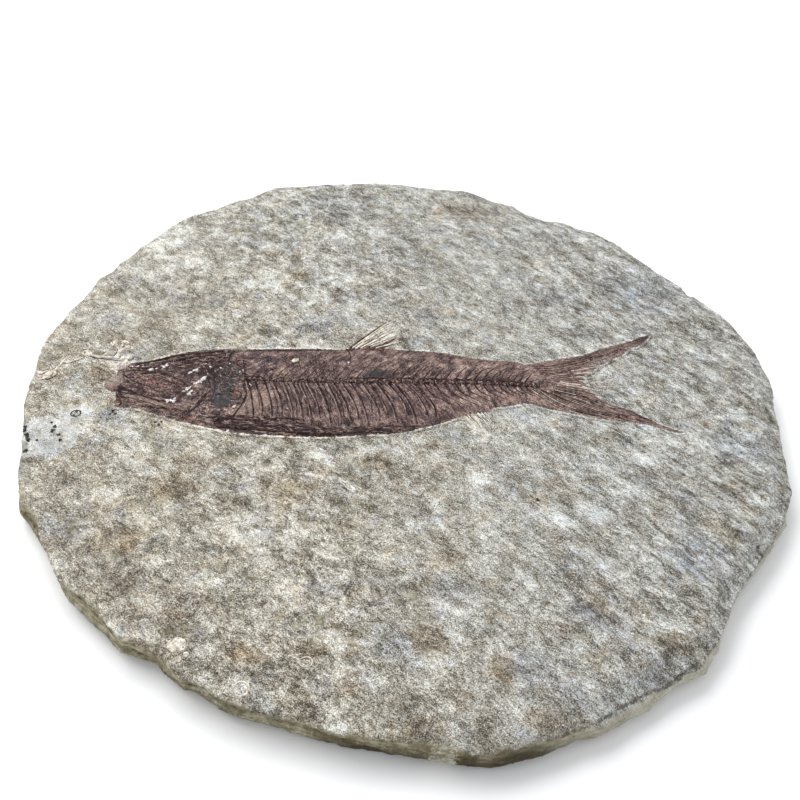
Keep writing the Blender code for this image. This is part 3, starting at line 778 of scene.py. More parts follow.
# Where the skin has gone, thinned or never reached, the stone shows, scraped cream along the outline.
bare = w.step(w.plus(w.mask("bare"), w.scaled(grain, 1.6, -0.8)), 0.3, 0.75)
faded = w.step(w.plus(w.mask("faded"), w.scaled(crackle, 1.6, -0.8)), 0.1, 1)
covered = w.times(w.step(depth, -0.08, 0.12), w.minus(1, bare), w.scaled(faded, -0.62, 1))
scraped = w.step(w.mask("skin_depth"), -0.46, -0.3)
needled = w.times(scraped, w.step(w.noise(2.4, 3, 0.75), 0.44, 0.6), w.mask("needled"))
bare_stone = w.mix(needled, face.outputs["Color"], tone(236, 227, 212))
w.feed(shader.inputs["Base Color"], w.mix(covered, bare_stone, flesh))
w.feed(shader.inputs["Roughness"], w.scaled(covered, -0.2, 0.92))
shader.inputs["Specular IOR Level"].default_value = 0.2
w.bump(shader, shade, 0.5 * MM, 0.9)
dress(film, carbon_film)
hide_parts("fish")
grounds.append(BVHTree.FromObject(film, bpy.context.evaluated_depsgraph_get()))

# ------------------------------------------------------------
# The backbone: some forty small hourglass centra of brown bone, end to end. They are smallest behind the
# head and at the tail, and lie half sunk in the skin with dark joints between them.
spine_line = ((-40, 2.2), (-22.8, 1.6), (-3.4, 2), (16.3, 1.6), (30.5, 0.9))
spine_start, spine_end = -38.2, 27.6
shortest_centrum, longest_centrum = 1.15, 2.6


def spine_y(x):
    """Where the backbone runs across the fish, in millimetres."""
    return float(np.interp(x, [point[0] for point in spine_line], [point[1] for point in spine_line]))


def settle(piece, squash, lift):
    """Flattens a piece made round the plane z = 0 and lays it on what is below it."""
    points = points_of(piece)
    ground = np.array([ground_at(x, y) for x, y in points[:, :2]])
    points[:, 2] = points[:, 2] * squash + ground + lift
    move_points(piece, points)


def bone_finish(name, dark, mid, pale, size, shine=0.1):
    """Fossil bone: brown with darker and paler flecks, nearly dull."""
    made, w, shader = finish_for(name)
    flecks = w.noise(size, 3, 0.75)
    w.feed(shader.inputs["Base Color"], w.ramp(flecks, (0.38, dark), (0.5, mid), (0.62, pale)))
    shader.inputs["Roughness"].default_value = 0.75
    shader.inputs["Specular IOR Level"].default_value = shine
    w.bump(shader, flecks, 0.1 * MM, 0.5)
    return made


def joined(parts, name):
    """Several meshes as one piece."""
    pick(parts[0])
    for part in parts:
        part.select_set(True)
    bpy.ops.object.join()
    bpy.context.object.name = name
    return bpy.context.object


brown_bone = bone_finish("brown_bone", tone(52, 36, 34), tone(88, 66, 61), tone(140, 116, 104), 0.9)
dark_bone = bone_finish("dark_bone", tone(30, 19, 19), tone(46, 31, 31), tone(78, 58, 54), 1)
tan_bone = bone_finish("tan_bone", tone(94, 77, 72), tone(128, 109, 101), tone(168, 149, 139), 1)
pale_bone = bone_finish("pale_bone", tone(160, 151, 136), tone(204, 197, 182), tone(238, 234, 224), 1)

spine_bone = bone_finish("spine_bone", tone(42, 30, 31), tone(76, 58, 55), tone(150, 130, 120), 0.5)
joints = [spine_start]
while joints[-1] < spine_end:
    part = (joints[-1] - spine_start) / (spine_end - spine_start)
    joints.append(joints[-1] + shortest_centrum + (longest_centrum - shortest_centrum) * math.sin(math.pi * part))

bpy.ops.mesh.primitive_cylinder_add(vertices=12, radius=1, depth=1, rotation=(0, math.radians(90), 0))
centrum = bpy.context.object
bpy.ops.object.transform_apply(rotation=True)
bpy.ops.object.mode_set(mode="EDIT")
for cut in (-0.4, -0.2, 0, 0.2, 0.4):
    bpy.ops.mesh.select_all(action="SELECT")
    bpy.ops.mesh.bisect(plane_co=(cut, 0, 0), plane_no=(1, 0, 0))
bpy.ops.object.mode_set(mode="OBJECT")
waist = points_of(centrum)
waist[:, 1:] *= 0.66 + 0.34 * np.clip(np.abs(waist[:, :1]) / 0.5, 0, 1) ** 1.5
move_points(centrum, waist)

centra = []
for x0, x1 in zip(joints, joints[1:]):
    copy = bpy.data.objects.new("centrum", centrum.data.copy())
    bpy.context.scene.collection.objects.link(copy)
    place = (x0 + x1) / 2
    stout = 0.62 + 0.2 * math.sin(math.pi * (place - spine_start) / (spine_end - spine_start))
    shape = points_of(copy) * (x1 - x0 - 0.25, stout, stout) + (place, spine_y(place), 0)
    move_points(copy, shape * MM)
    centra.append(copy)
bpy.data.objects.remove(centrum)
backbone = joined(centra, "backbone")
settle(backbone, 0.35, 0)
group_by(backbone, "all", np.ones(len(backbone.data.vertices)))
roughen(backbone, "bone_pits", 0.6 * MM, 0.16 * MM, "all")
backbone.data.shade_smooth()
dress(backbone, spine_bone)


def strands(name, lines, finish, squash=0.5, lift=0, detail=4):
    """Thin bones or rays as one piece: each line is its points and its half widths at the two ends."""
    curve = bpy.data.curves.new(name, "CURVE")
    curve.dimensions = "3D"
    curve.bevel_depth = MM
    curve.bevel_resolution = 1
    curve.use_fill_caps = True
    for points, start_width, end_width in lines:
        path = smooth_through(points, detail)
        spline = curve.splines.new("POLY")
        spline.points.add(len(path) - 1)
        for k, (point, (x, y)) in enumerate(zip(spline.points, path)):
            part = k / (len(path) - 1)
            point.co = (x * MM, y * MM, 0, 1)
            uneven = 1 + 0.5 * noise.noise(Vector((x, y, start_width * 40)) * 1.3)
            point.radius = (start_width + (end_width - start_width) * part) * uneven
    piece = bpy.data.objects.new(name, curve)
    bpy.context.scene.collection.objects.link(piece)
    pick(piece)
    bpy.ops.object.convert(target="MESH")
    piece = bpy.context.object
    settle(piece, squash, lift)
    piece.data.shade_smooth()
    dress(piece, finish)
    return piece


# The joints between the centra, the dark cord of the nerve arches along their tops, and the tail's black end.
spine_dark = []
for x in joints:
    y, lean = spine_y(x), random.uniform(-0.3, 0.45)
    low, high = random.uniform(0.3, 0.8), random.uniform(0.3, 0.9)
    line = [(x - lean, y - low), (x + random.uniform(-0.1, 0.3), y), (x + lean, y + high)]
    spine_dark.append((line, random.uniform(0.14, 0.4), random.uniform(0.2, 0.46)))
    if random.random() < 0.7:
        fleck = random.uniform(0.3, 0.9)
        line = [(x + fleck, y + random.uniform(-0.9, 0.2)), (x + fleck + 0.3, y + random.uniform(0.2, 0.9))]
        spine_dark.append((line, 0.2, 0.12))
arch = []
along = -15
while along < 24:
    run = random.uniform(1, 3.4)
    line = [(x, spine_y(x) + 0.85 + random.uniform(-0.2, 0.2)) for x in np.linspace(along, along + run, 4)]
    arch.append((line, random.uniform(0.14, 0.3), random.uniform(0.1, 0.24)))
    along += run + random.uniform(-0.3, 0.9)
tail_end = [([(x + 0.4, spine_y(x) - 0.5), (x + 0.6, spine_y(x) + 0.6)], 0.34, 0.5) for x in joints if 12 < x < 26]
strands("backbone_joints", spine_dark + arch + tail_end, dark_bone, 0.6, 0.06 * MM)
spine_flecks = []
for x in np.arange(spine_start, 12, 0.5):
    y = spine_y(x) + random.uniform(-0.6, 0.7)
    line = [(x, y), (x + random.uniform(-0.2, 0.4), y + random.uniform(-0.6, 0.6))]
    spine_flecks.append((line, random.uniform(0.14, 0.36), 0.16))
strands("backbone_flecks", spine_flecks, dark_bone, 0.5, 0.2 * MM)
spine_pale = []
for x0, x1 in zip(joints, joints[1:]):
    x, y = (x0 + x1) / 2 + random.uniform(-0.2, 0.2), spine_y(x0) + random.uniform(-0.3, 0.3)
    spine_pale.append(([(x - 0.2, y - 0.2), (x + 0.2, y + 0.3)], random.uniform(0.12, 0.24), 0.12))
strands("backbone_waists", spine_pale, tan_bone, 0.5, 0.22 * MM)

# ------------------------------------------------------------
# The ribs: a pair of thin dark rods from each of the front centra, sweeping back as they fall to the belly, with a pale
# strand beside each that is a painted highlight along its edge.
rib_count, rib_first, rib_last = 20, -38, -0.6
rib_bone = bone_finish("rib_bone", tone(27, 17, 19), tone(44, 30, 31), tone(84, 65, 61), 1.6)


def rib(part, shift=0, reach=1):
    """The line of one rib: part runs from 0 at the shoulder to 1 at the vent."""
    x = rib_first + part * (rib_last - rib_first) + shift
    top = spine_y(x) - 0.8
    length = (top + 10.4 + 2 * math.sin(math.pi * part)) * reach
    sweep = 1.8 + 2.7 * part
    line = [(x + sweep * math.sin(math.pi / 2 * down), top - length * down) for down in (0, 0.2, 0.4, 0.6, 0.8, 1)]
    return [(x + random.uniform(-0.12, 0.12), y) for x, y in line]


dark_ribs, rib_highlights, far_ribs = [], [], []
for k in range(rib_count):
    part = k / (rib_count - 1)
    reach = random.uniform(0.8, 1.04)
    shift, thick = random.uniform(-0.3, 0.3), random.uniform(0.7, 1.15)
    dark_ribs.append((rib(part, shift, reach), 0.27 * thick, 0.16 * thick))
    # Beside each rib, a pale strand as a painted highlight.
    rib_highlights.append((rib(part, shift - 0.46, reach * 0.9), 0.12, 0.08))
    far_ribs.append((rib(part, 0.95 + random.uniform(-0.4, 0.4), reach * random.uniform(0.4, 1)), 0.12, 0.1))
strands("ribs", dark_ribs, rib_bone)
strands("painted_rib_highlights", rib_highlights, tan_bone, 0.35)
strands("far_ribs", far_ribs, dark_bone, 0.35)

# ------------------------------------------------------------
# The spines of the backbone: short ones lean back over the front, and behind the vent long ones sweep back
# above and below it to the edge of the body.
upper_spines, lower_spines = [], []
for x in joints[1:-2]:
    part = (x - spine_start) / (spine_end - spine_start)
    strong = min(1, max(0.2, (part - 0.35) / 0.25))
    y = spine_y(x) + 0.9
    reach = (3.8 + 1.2 * math.sin(math.pi * part)) * random.uniform(0.8, 1.05) * (1 if part < 0.85 else 0.75)
    line = [(x, y), (x + 0.3 * reach, y + 0.5 * reach), (x + 0.7 * reach, y + reach)]
    upper_spines.append((line, 0.09 + 0.17 * strong, 0.06))
    if x > rib_last + 1.5:
        y = spine_y(x) - 0.7
        drop = max(3.2, 8.8 - (x - rib_last) * 0.26) * random.uniform(0.88, 1.03)
        line = [(x, y), (x + 0.18 * drop, y - 0.4 * drop), (x + 0.5 * drop, y - 0.66 * drop), (x + drop, y - drop)]
        lower_spines.append((line, 0.24 * random.uniform(0.8, 1.1), 0.08))
strands("upper_spines", upper_spines, dark_bone)
strands("lower_spines", lower_spines, dark_bone)


def fan(guides, between, width, stray=0.12):
    """Lines spread between neighbouring guide lines, each a little astray and of its own length."""
    lines = []
    for first, second in zip(guides, guides[1:]):
        for k in range(between):
            part = (k + random.uniform(0.2, 0.8)) / between
            line = np.array(first) * (1 - part) + np.array(second) * part
            line[-1] = line[-2] + (line[-1] - line[-2]) * random.uniform(0.4, 1.3)
            shift = (random.uniform(-stray, stray), random.uniform(-stray, stray))
            lines.append((line + shift, width * random.uniform(0.7, 1.2), width * 0.5))
    return lines


# ------------------------------------------------------------
# The tail fin: jointed rays of dark and pale bone that fan from the end of the backbone into two lobes, the
# long outer ones close together and the short middle ones spread over the fork.
upper_lobe = (
    ((27.4, 8), (33, 9.6), (42, 12.4), (55, 17.6)),
    ((28.5, 7.4), (33.5, 8), (42.6, 11), (54, 16.4)),
    ((28.5, 6.6), (33.8, 6.6), (41.2, 9.2), (48, 12.6)),
    ((31.4, 4.6), (36.4, 6), (41, 7.8), (45.4, 9.6)),
    ((32.2, 3.4), (36.6, 4), (39.8, 5), (42.6, 6.6)),
    ((32.4, 2.4), (36, 2), (38.6, 1.6), (41.6, 1.5)),
)
lower_lobe = (
    ((32.6, 1.8), (35.6, 0.8), (38.6, 0.4), (41.9, 0.2)),
    ((33.1, 0), (37, -0.9), (41, -2.2), (44, -4.2)),
    ((31.6, -0.8), (37.4, -2.8), (42, -5), (47.4, -8)),
    ((30.5, -1.3), (35.2, -3.8), (41, -6.8), (49, -9.6)),
    ((28.2, 0), (31.2, -3.4), (36, -6.4), (46, -9.6)),
    ((26.2, -0.6), (29.1, -3.5), (32.1, -6.2), (38, -8.3)),
)
fork_rays = (
    ((37, 6.4), (41, 7.6), (46.6, 9.2)),
    ((38, 4.6), (41.6, 5), (46.4, 5.8)),
    ((38.6, 2.6), (42, 2.6), (46.2, 2.6)),
    ((39, 0.6), (42, -0.2), (45.6, -1.4)),
)
strands("tail_rays", fan(upper_lobe, 3, 0.12) + fan(lower_lobe, 4, 0.17), dark_bone, 0.5)
pale_tail = fan(upper_lobe, 3, 0.12) + fan(lower_lobe, 4, 0.14) + fan(fork_rays, 4, 0.14)
strands("pale_tail_rays", pale_tail, tan_bone, 0.4)

# ------------------------------------------------------------
# The fin on the back and the small fin behind the vent: pale rays on bare stone, each with a dark line along one side
# that is painted shadow.
back_fin = (
    ((-14.2, 13.2), (-10.6, 17.2), (-6.9, 21), (-3.4, 24.4)),
    ((-13.6, 13.1), (-9.9, 16.8), (-6.2, 20), (-4.2, 21.8)),
    ((-12.2, 13.2), (-9.4, 15.4), (-6.8, 17.7), (-4, 20)),
    ((-10.4, 13.3), (-8, 14.7), (-5.6, 16.1), (-2.9, 17.9)),
    ((-8.6, 13.2), (-6.4, 14.2), (-4.4, 15.1), (-2.3, 16.3)),
)
back_fin_shadows = (
    (((-15.2, 12.6), (-13.8, 14.6), (-10.6, 17.9), (-7, 21.6), (-4.6, 24)), 0.3, 0.14),
    (((-14.6, 12.4), (-12.6, 14.3), (-9.2, 17.2), (-6.6, 19.4)), 0.26, 0.14),
    (((-13.2, 12.6), (-11.2, 14.5), (-8.4, 16.8), (-6.4, 18.6)), 0.3, 0.12),
    (((-11.4, 12.8), (-9.6, 14), (-7.6, 15.4)), 0.4, 0.14),
    (((-10, 12.9), (-7.8, 14), (-5.4, 15.6), (-3.6, 17.2)), 0.4, 0.2),
    (((-8.8, 12.9), (-6.6, 13.8), (-4.4, 15)), 0.34, 0.12),
    (((-8, 12.6), (-6, 13.1), (-4, 13.6)), 0.3, 0.1),
)
vent_fin = (
    ((10.2, -8.8), (11.6, -11), (13, -13.4), (14.2, -16)),
    ((11.9, -8.3), (13.2, -10.8), (14.2, -13.4), (14.9, -15.4)),
    ((14.2, -7.9), (15.2, -9.4), (16, -10.8), (16.6, -12)),
)
below_tail = (
    ((35.8, -7.9), (38.8, -9.8), (41.4, -11.4), (44.4, -13.4)),
    ((37.8, -8.3), (41.2, -10.8), (44.2, -13.2), (47.3, -15.5)),
)
fine_rays = fan(lower_lobe, 2, 0.075, 0.3) + fan(back_fin, 2, 0.16) + fan(vent_fin, 2, 0.14)
fine_rays += fan(below_tail, 2, 0.1) + fan(fork_rays, 2, 0.14)
tail_root = (((34, 2.4), (37, 1.6), (41.4, 1.4)), ((35.4, 1.2), (38.4, 0.6), (41.8, 0.2)))
pale_rays = [(line, 0.26, 0.1) for line in back_fin] + [(line, 0.15, 0.08) for line in tail_root]
pale_rays += [(line, 0.15, 0.1) for line in vent_fin]
strands("fin_rays", pale_rays + fine_rays, pale_bone, 0.6)
# Painted shadow: a dark line beside each ray of the back fin.
strands("fin_ray_shadows", list(back_fin_shadows) + fan(back_fin, 2, 0.12), brown_bone, 0.7)

# ------------------------------------------------------------
# The skull: crushed flat, so that the edges of its thin plates show as dark lines, some with a pale lip: the
# roof, the brow, both jaws, the cheek, the gill cover and the shoulder girdle.
skull_dark = (
    (((-63.4, 6.6), (-59.2, 8), (-54.9, 9.6), (-49.4, 10.7), (-44.2, 11.6)), 0.3, 0.35),
    (((-54.7, 8), (-50, 9.4), (-46.5, 9.9), (-43.1, 10.8)), 0.35, 0.2),
    (((-62, 3.4), (-58.3, 3.7), (-54, 1.9), (-51.1, -0.4)), 0.24, 0.16),
    (((-66.1, -0.7), (-62.1, -3), (-57.9, -4.9), (-55.4, -5.5)), 0.3, 0.18),
    (((-66.2, -0.6), (-66.2, -1.8), (-65.8, -2.8)), 0.32, 0.15),
    (((-65.9, -2.4), (-65.4, -3.8), (-65.7, -5)), 0.25, 0.22),
    (((-65.4, -4.8), (-65, -5.8), (-65.2, -6.5)), 0.25, 0.3),
    (((-66, -1.4), (-64.4, -1.9), (-63, -3.4)), 0.2, 0.12),
    (((-65.6, 3), (-63.4, 1), (-60, -0.6), (-57.2, -2.6)), 0.2, 0.12),
    (((-64.6, 5.4), (-61, 5.2), (-57.4, 5.4)), 0.3, 0.2),
    (((-46.2, -1.8), (-47.9, -5.2), (-49.3, -8)), 0.2, 0.14),
    (((-47.3, -3.3), (-48.8, -7.1), (-50.2, -8.8)), 0.16, 0.12),
    (((-49.6, 5.7), (-47.3, 3.2), (-46.5, -0.3), (-47.4, -3.7), (-49.1, -6.6)), 0.16, 0.12),
    (((-38.9, -0.4), (-38.1, -2.6), (-38.9, -6), (-40.6, -9.8)), 0.24, 0.18),
    (((-39.4, 8.4), (-38.8, 3.8), (-38.7, -0.2)), 0.18, 0.2),
    (((-48.3, 6.4), (-45.4, 4.7), (-45.9, 2.2)), 0.14, 0.12),
    (((-44.7, -11.4), (-42.9, -10.3), (-39.6, -10.7), (-34.9, -11.1), (-30, -10.1), (-25.7, -10.7)), 0.45, 0.2),
    (((-43.7, -12.6), (-38.1, -13.2), (-31.5, -14), (-25, -14.5), (-17, -14.7)), 0.45, 0.25),
    (((-38, 11.7), (-33, 11.9), (-27, 12.3), (-19, 12.5)), 0.18, 0.12),
    (((-15.6, 12.9), (-15, 11.8), (-14.7, 10.1), (-15.1, 8.4)), 0.22, 0.1),
    (((-41.8, -2.2), (-40.3, -1.6), (-39.2, -3), (-40, -4.6), (-41.6, -4.4)), 0.16, 0.16),
)
skull_pale = (
    (((-65.4, -3.5), (-61.6, -4.7), (-57.1, -6.3), (-51.7, -7.6)), 0.18, 0.1),
    (((-65.2, -4.9), (-60.7, -6.1), (-56, -7.4)), 0.16, 0.1),
    (((-62.4, 2.6), (-58.4, 3.1), (-54.4, 1.3)), 0.12, 0.1),
    (((-46.8, -1.6), (-48.5, -5), (-49.9, -7.8)), 0.13, 0.1),
    (((-38.3, -0.2), (-37.5, -2.6), (-38.2, -6), (-40, -9.9)), 0.18, 0.12),
    (((-63, 6), (-58.8, 7.3), (-54.6, 8.8)), 0.1, 0.1),
)
strands("skull_edges", skull_dark, dark_bone)
strands("skull_lips", skull_pale, tan_bone, 0.4)

# ------------------------------------------------------------
# The torn fibres of the skin: hair-fine dark and pale shreds that lie the way the flesh ran, thickest on the
# skull, the breast and the two lobes of the tail.
shred_areas = (
    ((-53, 8), (12, 2.6), 14, 16, 120, 2.4, 0.16),    # centre, reach, turn, scatter, how many,
    ((-62, 4.6), (4.6, 2), 5, 26, 50, 1.6, 0.15),       # length and half width
    ((-57, 0.6), (7.5, 3.4), -16, 24, 80, 1.8, 0.12),
    ((-59, -5.4), (7.5, 2.4), -19, 12, 70, 2.6, 0.12),
    ((-49, -5), (5.5, 3.6), 56, 24, 60, 2, 0.12),
    ((-54, 1.8), (12, 7.5), -12, 70, 260, 0.9, 0.11),
    ((-42.8, 1), (4, 6), -60, 70, 110, 0.9, 0.12),
    ((-8, 2), (29, 1.3), 0, 60, 220, 0.7, 0.12),
    ((-45, 6.4), (6.5, 4.4), -58, 40, 120, 1.5, 0.14),
    ((-39.6, 6), (1.8, 5), 4, 24, 40, 1.5, 0.13),
    ((-33, -12.4), (15, 2.3), -8, 13, 130, 3, 0.2),
    ((-9, -13.4), (15, 1.3), 3, 12, 70, 2.4, 0.16),
    ((-25, 7.4), (15, 4.6), 42, 16, 90, 2.4, 0.1),
    ((2, 7.6), (14, 4), 45, 16, 70, 2.2, 0.1),
    ((20, 5.6), (11, 3), 36, 16, 60, 2, 0.1),
    ((-20, -6), (18, 5), -74, 12, 140, 2.8, 0.1),
    ((8, -5), (11, 4), -46, 14, 70, 2.4, 0.1),
    ((47, 13.6), (13, 2), 30, 5, 60, 4, 0.11),
    ((48, -8.4), (13, 2), -28, 5, 70, 4, 0.12),
)


def shreds(share, width_share):
    """Short strokes strewn over each area, kept where both ends lie on the skin."""
    lines = []
    for centre, reach, turn, scatter, count, length, width in shred_areas:
        lean = math.radians(turn)
        for _ in range(round(count * share)):
            far, bearing = math.sqrt(random.random()), random.uniform(0, 2 * math.pi)
            along, over = far * math.cos(bearing) * reach[0], far * math.sin(bearing) * reach[1]
            x = centre[0] + along * math.cos(lean) - over * math.sin(lean)
            y = centre[1] + along * math.sin(lean) + over * math.cos(lean)
            lie = lean + math.radians(random.gauss(0, scatter))
            half = length * random.uniform(0.25, 0.7)
            dx, dy, bend = half * math.cos(lie), half * math.sin(lie), random.uniform(-0.15, 0.15)
            line = [(x - dx, y - dy), (x - dy * bend, y + dx * bend), (x + dx, y + dy)]
            if depth_in(np.array(line) * MM, fish_outline[::3]).min() > 0.25 * MM:
                thick = width * width_share * random.uniform(0.6, 1.2)
                lines.append((line, thick, thick * 0.3))
    return lines


strands("dark_shreds", shreds(1, 1), dark_bone, 0.4, 0, 2)
strands("pale_shreds", shreds(0.7, 0.8), tan_bone, 0.4, 0, 2)


# ------------------------------------------------------------
# Flecks of white calcite that burst through the head and lie about it, in short blades.
calcite = bone_finish("calcite", tone(172, 160, 158), tone(212, 204, 202), tone(240, 236, 234), 0.5, 0.3)
flecks = (
    (-57.2, 5.6, 1, 20), (-56.6, 6.3, 0.8, 80), (-59.9, 4.8, 0.8, 10), (-58.9, 5.1, 0.5, 0), (-61.8, 5.7, 0.5, 20),
    (-63, 5.9, 0.6, 30), (-64.3, 5.7, 0.5, 0), (-50, 4.6, 0.9, 12), (-49.4, 5.5, 0.6, 30), (-51.2, 3.9, 0.6, 30),
    (-48, 1.9, 1.2, 48), (-48.8, 0.7, 1, 30), (-49.7, 0.4, 0.6, 0), (-51.1, -1.3, 0.9, 62), (-50.7, -2.8, 0.7, -30),
    (-51.9, -2.2, 0.5, 20), (-50.2, -2, 0.4, 50), (-54.9, -5.2, 1, -4), (-53.9, -5.4, 0.9, -20), (-53.6, -4.5, 0.4, 60),
    (-68.4, 5, 0.5, 40), (-67.5, 4.1, 0.35, -40), (-66.6, 8.6, 1.3, 10), (-65.2, 8.9, 1.2, 62), (-65.8, 7.8, 1.1, -30),
    (-40.6, -6.8, 0.6, 40), (-40, 4.3, 0.4, 80), (-41.5, -14, 0.6, 70),
    (-28.8, -7.1, 0.3, 40), (-15.2, 8, 0.35, 60), (-44.4, 5.6, 0.35, 10), (-39.3, 5, 0.3, 70), (-37.6, 0.4, 0.6, -50),
    (-33.4, -15, 0.4, 0), (-47.8, 6.8, 0.3, -50), (-46.7, 5.9, 0.4, -50), (-62, -3, 0.3, 10), (-42.4, 7, 0.3, 70),
)
needles = []     # each fleck is a burst of short blades: (x, y, half length, turn)
for x, y, size, turn in flecks:
    for blade in range(7):
        lean = math.radians(turn + (0, 35, -50, 85, 10, -25, 60)[blade] + random.uniform(-20, 20))
        half = size * (0.95, 0.7, 0.55, 0.4, 0.5, 0.45, 0.35)[blade] * random.uniform(0.7, 1.2)
        dx, dy = half * math.cos(lean), half * math.sin(lean)
        at_x, at_y = x + random.uniform(-0.35, 0.35) * size, y + random.uniform(-0.35, 0.35) * size
        thick = random.uniform(0.14, 0.26) * size**0.5
        needles.append((((at_x - dx, at_y - dy), (at_x, at_y)), 0.05, thick))
        needles.append((((at_x, at_y), (at_x + dx, at_y + dy)), thick, 0.05))
strands("calcite_flecks", needles, calcite, 0.45, 0, 2)


# ------------------------------------------------------------
# Scraps of other things pressed in the same bed: cream scales and scraps of shell, a stalked scale with its
# tongue, shell rings, black grains, and a thin branching trace above the snout.
def crumbs(name, places, finish, flat=0.4, dented=0.8):
    """Small dented lumps at (x, y, half width) in millimetres, half sunk where they lie, as one piece."""
    balls = []
    for x, y, size in places:
        bpy.ops.mesh.primitive_ico_sphere_add(subdivisions=3, radius=size * MM)
        ball = bpy.context.object
        shape = points_of(ball)
        spot = Vector((x, y, 0))
        dents = [1 + dented * noise.noise(Vector(point) / (size * 0.6 * MM) + spot) for point in shape]
        shape = shape * np.array(dents)[:, None] * (1, 1, flat) + (x * MM, y * MM, ground_at(x * MM, y * MM))
        move_points(ball, shape)
        balls.append(ball)
    piece = joined(balls, name)
    piece.data.shade_smooth()
    dress(piece, finish)
    return piece


cream_shell = bone_finish("cream_shell", tone(156, 144, 130), tone(198, 188, 174), tone(234, 228, 216), 0.9)
black_grit = bone_finish("black_grit", tone(22, 25, 25), tone(44, 48, 47), tone(92, 94, 90), 0.5)
scale_places = (
    (-46.6, -65.6, 1.5), (-78.7, 7.3, 0.5), (-46, -68.4, 0.6), (-44.8, -67.6, 0.5),
    (39.9, -61.7, 0.35), (39.2, -60.4, 0.3), (-74.8, 9.9, 0.8), (-69.3, 14.2, 0.6), (-67.4, 14.4, 0.6),
    (-66.2, 12.8, 0.5), (-66.6, 8.6, 0.8), (-65.2, 8.8, 0.7), (-64.2, 8, 0.5), (-65.9, 7.4, 0.6),
    (-76.1, 6.9, 0.35), (-77.2, 7.8, 0.35), (-84.2, 4.2, 0.6), (-84, 2.6, 0.4), (-83.2, 1.8, 0.4),
    (-56.6, -12, 0.35), (-55.4, -11.4, 0.3), (-82.5, 2.5, 0.95), (-81.6, 3.4, 1),
)
crumbs("scales", scale_places, cream_shell, 0.22, 0.35)
grain_places = (
    (-83.9, -12.7, 0.45), (-83.8, -13.6, 0.5), (-83.2, -14.9, 0.45), (-82.9, -15.6, 0.5), (-82.5, -16.4, 0.5),
    (-77.7, -13.1, 0.45), (-77.9, -14.4, 0.4),
    (-76.5, -15.5, 0.35), (-75.9, -16.9, 0.3), (-82.4, -19.4, 0.45), (23.2, -32.8, 0.4), (-78.6, -11.9, 0.25),
    (-80.6, -16.9, 0.25), (-74, -8.6, 0.3), (-74.4, -9.6, 0.25), (-66.4, -8.2, 0.35), (-65.8, -9, 0.3), (-66.9, -9.2, 0.25),
    (-57, -11.4, 0.3), (-56.2, -12.2, 0.3), (-55.7, -11.3, 0.25), (-65.3, 8.3, 0.3), (-64.6, 8.7, 0.22),
    (-61.4, 6.5, 0.3), (-60.4, 5.5, 0.3), (-62.6, 6.3, 0.3), (-58.4, 6.2, 0.3), (-59.4, 6.6, 0.25),
)
crumbs("black_grains", grain_places, black_grit, 0.5, 0.9)

bpy.ops.mesh.primitive_cylinder_add(vertices=5, radius=0.9 * MM, depth=0.3 * MM)
back_scale = bpy.context.object
back_scale.name = "back_scale"
back_scale.location = (-27.5 * MM, 8.4 * MM, ground_at(-27.5 * MM, 8.4 * MM))
back_scale.rotation_euler = (0, 0, math.radians(24))
back_scale.scale = (1.1, 0.78, 1)
bpy.ops.object.transform_apply(location=True, rotation=True, scale=True)
soft = back_scale.modifiers.new("soft", "BEVEL")
soft.width = 0.1 * MM
soft.segments = 2
bpy.ops.object.modifier_apply(modifier="soft")
dress(back_scale, cream_shell)


def ring(centre, across, deep):
    """A closed ring of points round a centre, in millimetres."""
    turns = [2 * math.pi * k / 10 for k in range(11)]
    return [(centre[0] + across * math.cos(turn), centre[1] + deep * math.sin(turn)) for turn in turns]


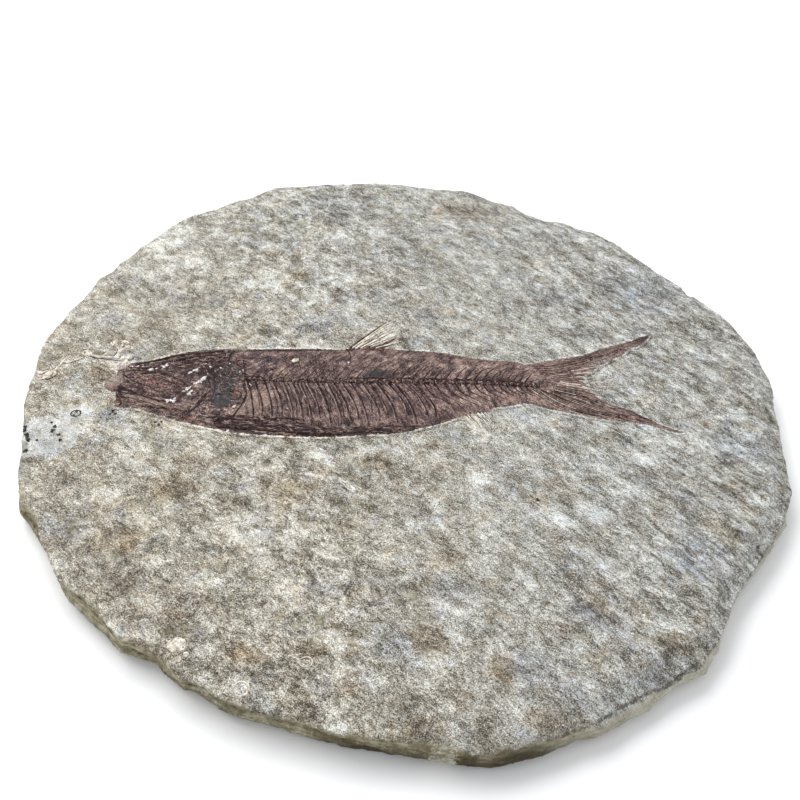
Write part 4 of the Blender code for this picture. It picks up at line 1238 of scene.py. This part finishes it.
shell_scraps = [
    (ring((-34.8, -74.3), 1.4, 1.3), 0.16, 0.16),
    (ring((-23.9, -69.4), 1.2, 1), 0.12, 0.12),
    (ring((-75.9, -11.8), 1.1, 0.9), 0.12, 0.12),
    (ring((-46.6, -65.6), 1.6, 1.4), 0.14, 0.14),
    (((-83.1, 1.5), (-82.6, 2.3), (-82, 3.2)), 0.4, 0.95),     # the stalked scale
    (((-82, 3.2), (-81.4, 4.3), (-80.7, 5.4)), 0.95, 0.25),
    (((-80.9, 5.1), (-80.2, 6.6), (-79.6, 7.8), (-78.5, 9.4)), 0.3, 0.14),
    (((-79.6, 7.2), (-78, 7.4), (-76, 8.2)), 0.2, 0.1),
    (((-84.6, 3.9), (-83.5, 4), (-82.4, 4.6)), 0.3, 0.2),
    (((-75.2, 10.6), (-74.4, 9.7), (-72.9, 9.1), (-70.6, 8.9), (-67.6, 8.9)), 0.5, 0.42),     # the branching trace
    (ring((-75, 10.2), 0.9, 0.8), 0.2, 0.2),
    (((-68.6, 8.8), (-67.9, 10.2), (-67.9, 11.6)), 0.55, 0.36),
    (((-67.9, 11.4), (-68.6, 12.8), (-69.3, 14.2)), 0.34, 0.28),
    (((-67.9, 11.4), (-67.6, 12.8), (-67.4, 14.3)), 0.32, 0.28),
    (((-67.9, 11.4), (-67, 12), (-66.3, 12.9)), 0.3, 0.28),
    (((-69.3, 14.2), (-70, 14.6), (-70.2, 13.8), (-69.4, 13.2)), 0.22, 0.18),
    (((-67.4, 14.3), (-66.7, 14.6), (-66.2, 14)), 0.24, 0.18),
    (((-66.3, 12.9), (-65.4, 12.8), (-65.2, 12), (-66, 11.6)), 0.22, 0.18),
    (((-71.4, 9), (-71, 10), (-70.2, 10.6)), 0.24, 0.14),
]
strands("shell_scraps", shell_scraps, cream_shell, 0.5)
traces = [
    (((-74.4, 9.2), (-72.6, 8.5), (-70, 8.2), (-67.4, 8)), 0.12, 0.16),
    (((-69, 9.4), (-68.5, 10.8), (-68.5, 12)), 0.1, 0.08),
    (((-66.8, -9), (-66.2, -7.8), (-65.2, -8)), 0.16, 0.1),
    (((-83.6, 1.6), (-82, 1.5), (-80.7, 2.8), (-80.4, 4.4)), 0.16, 0.1),
    (ring((-83.6, 5.4), 1.1, 0.7), 0.08, 0.08),
    (ring((-83.9, -0.2), 0.9, 0.6), 0.08, 0.08),
    (((-84.4, 3.4), (-83.2, 3.4), (-82.2, 4.3), (-81.2, 5.6)), 0.1, 0.08),
    (((-79.8, 6.6), (-78.2, 6.9), (-76.2, 7.7)), 0.1, 0.07),
    (ring((-27.5, 8.4), 1.1, 0.82), 0.09, 0.09),
]
strands("traces", traces, brown_bone, 0.6)
strands("dark_ring", [(ring((-74.1, -9), 1.05, 0.95), 0.18, 0.18)], black_grit, 0.6)
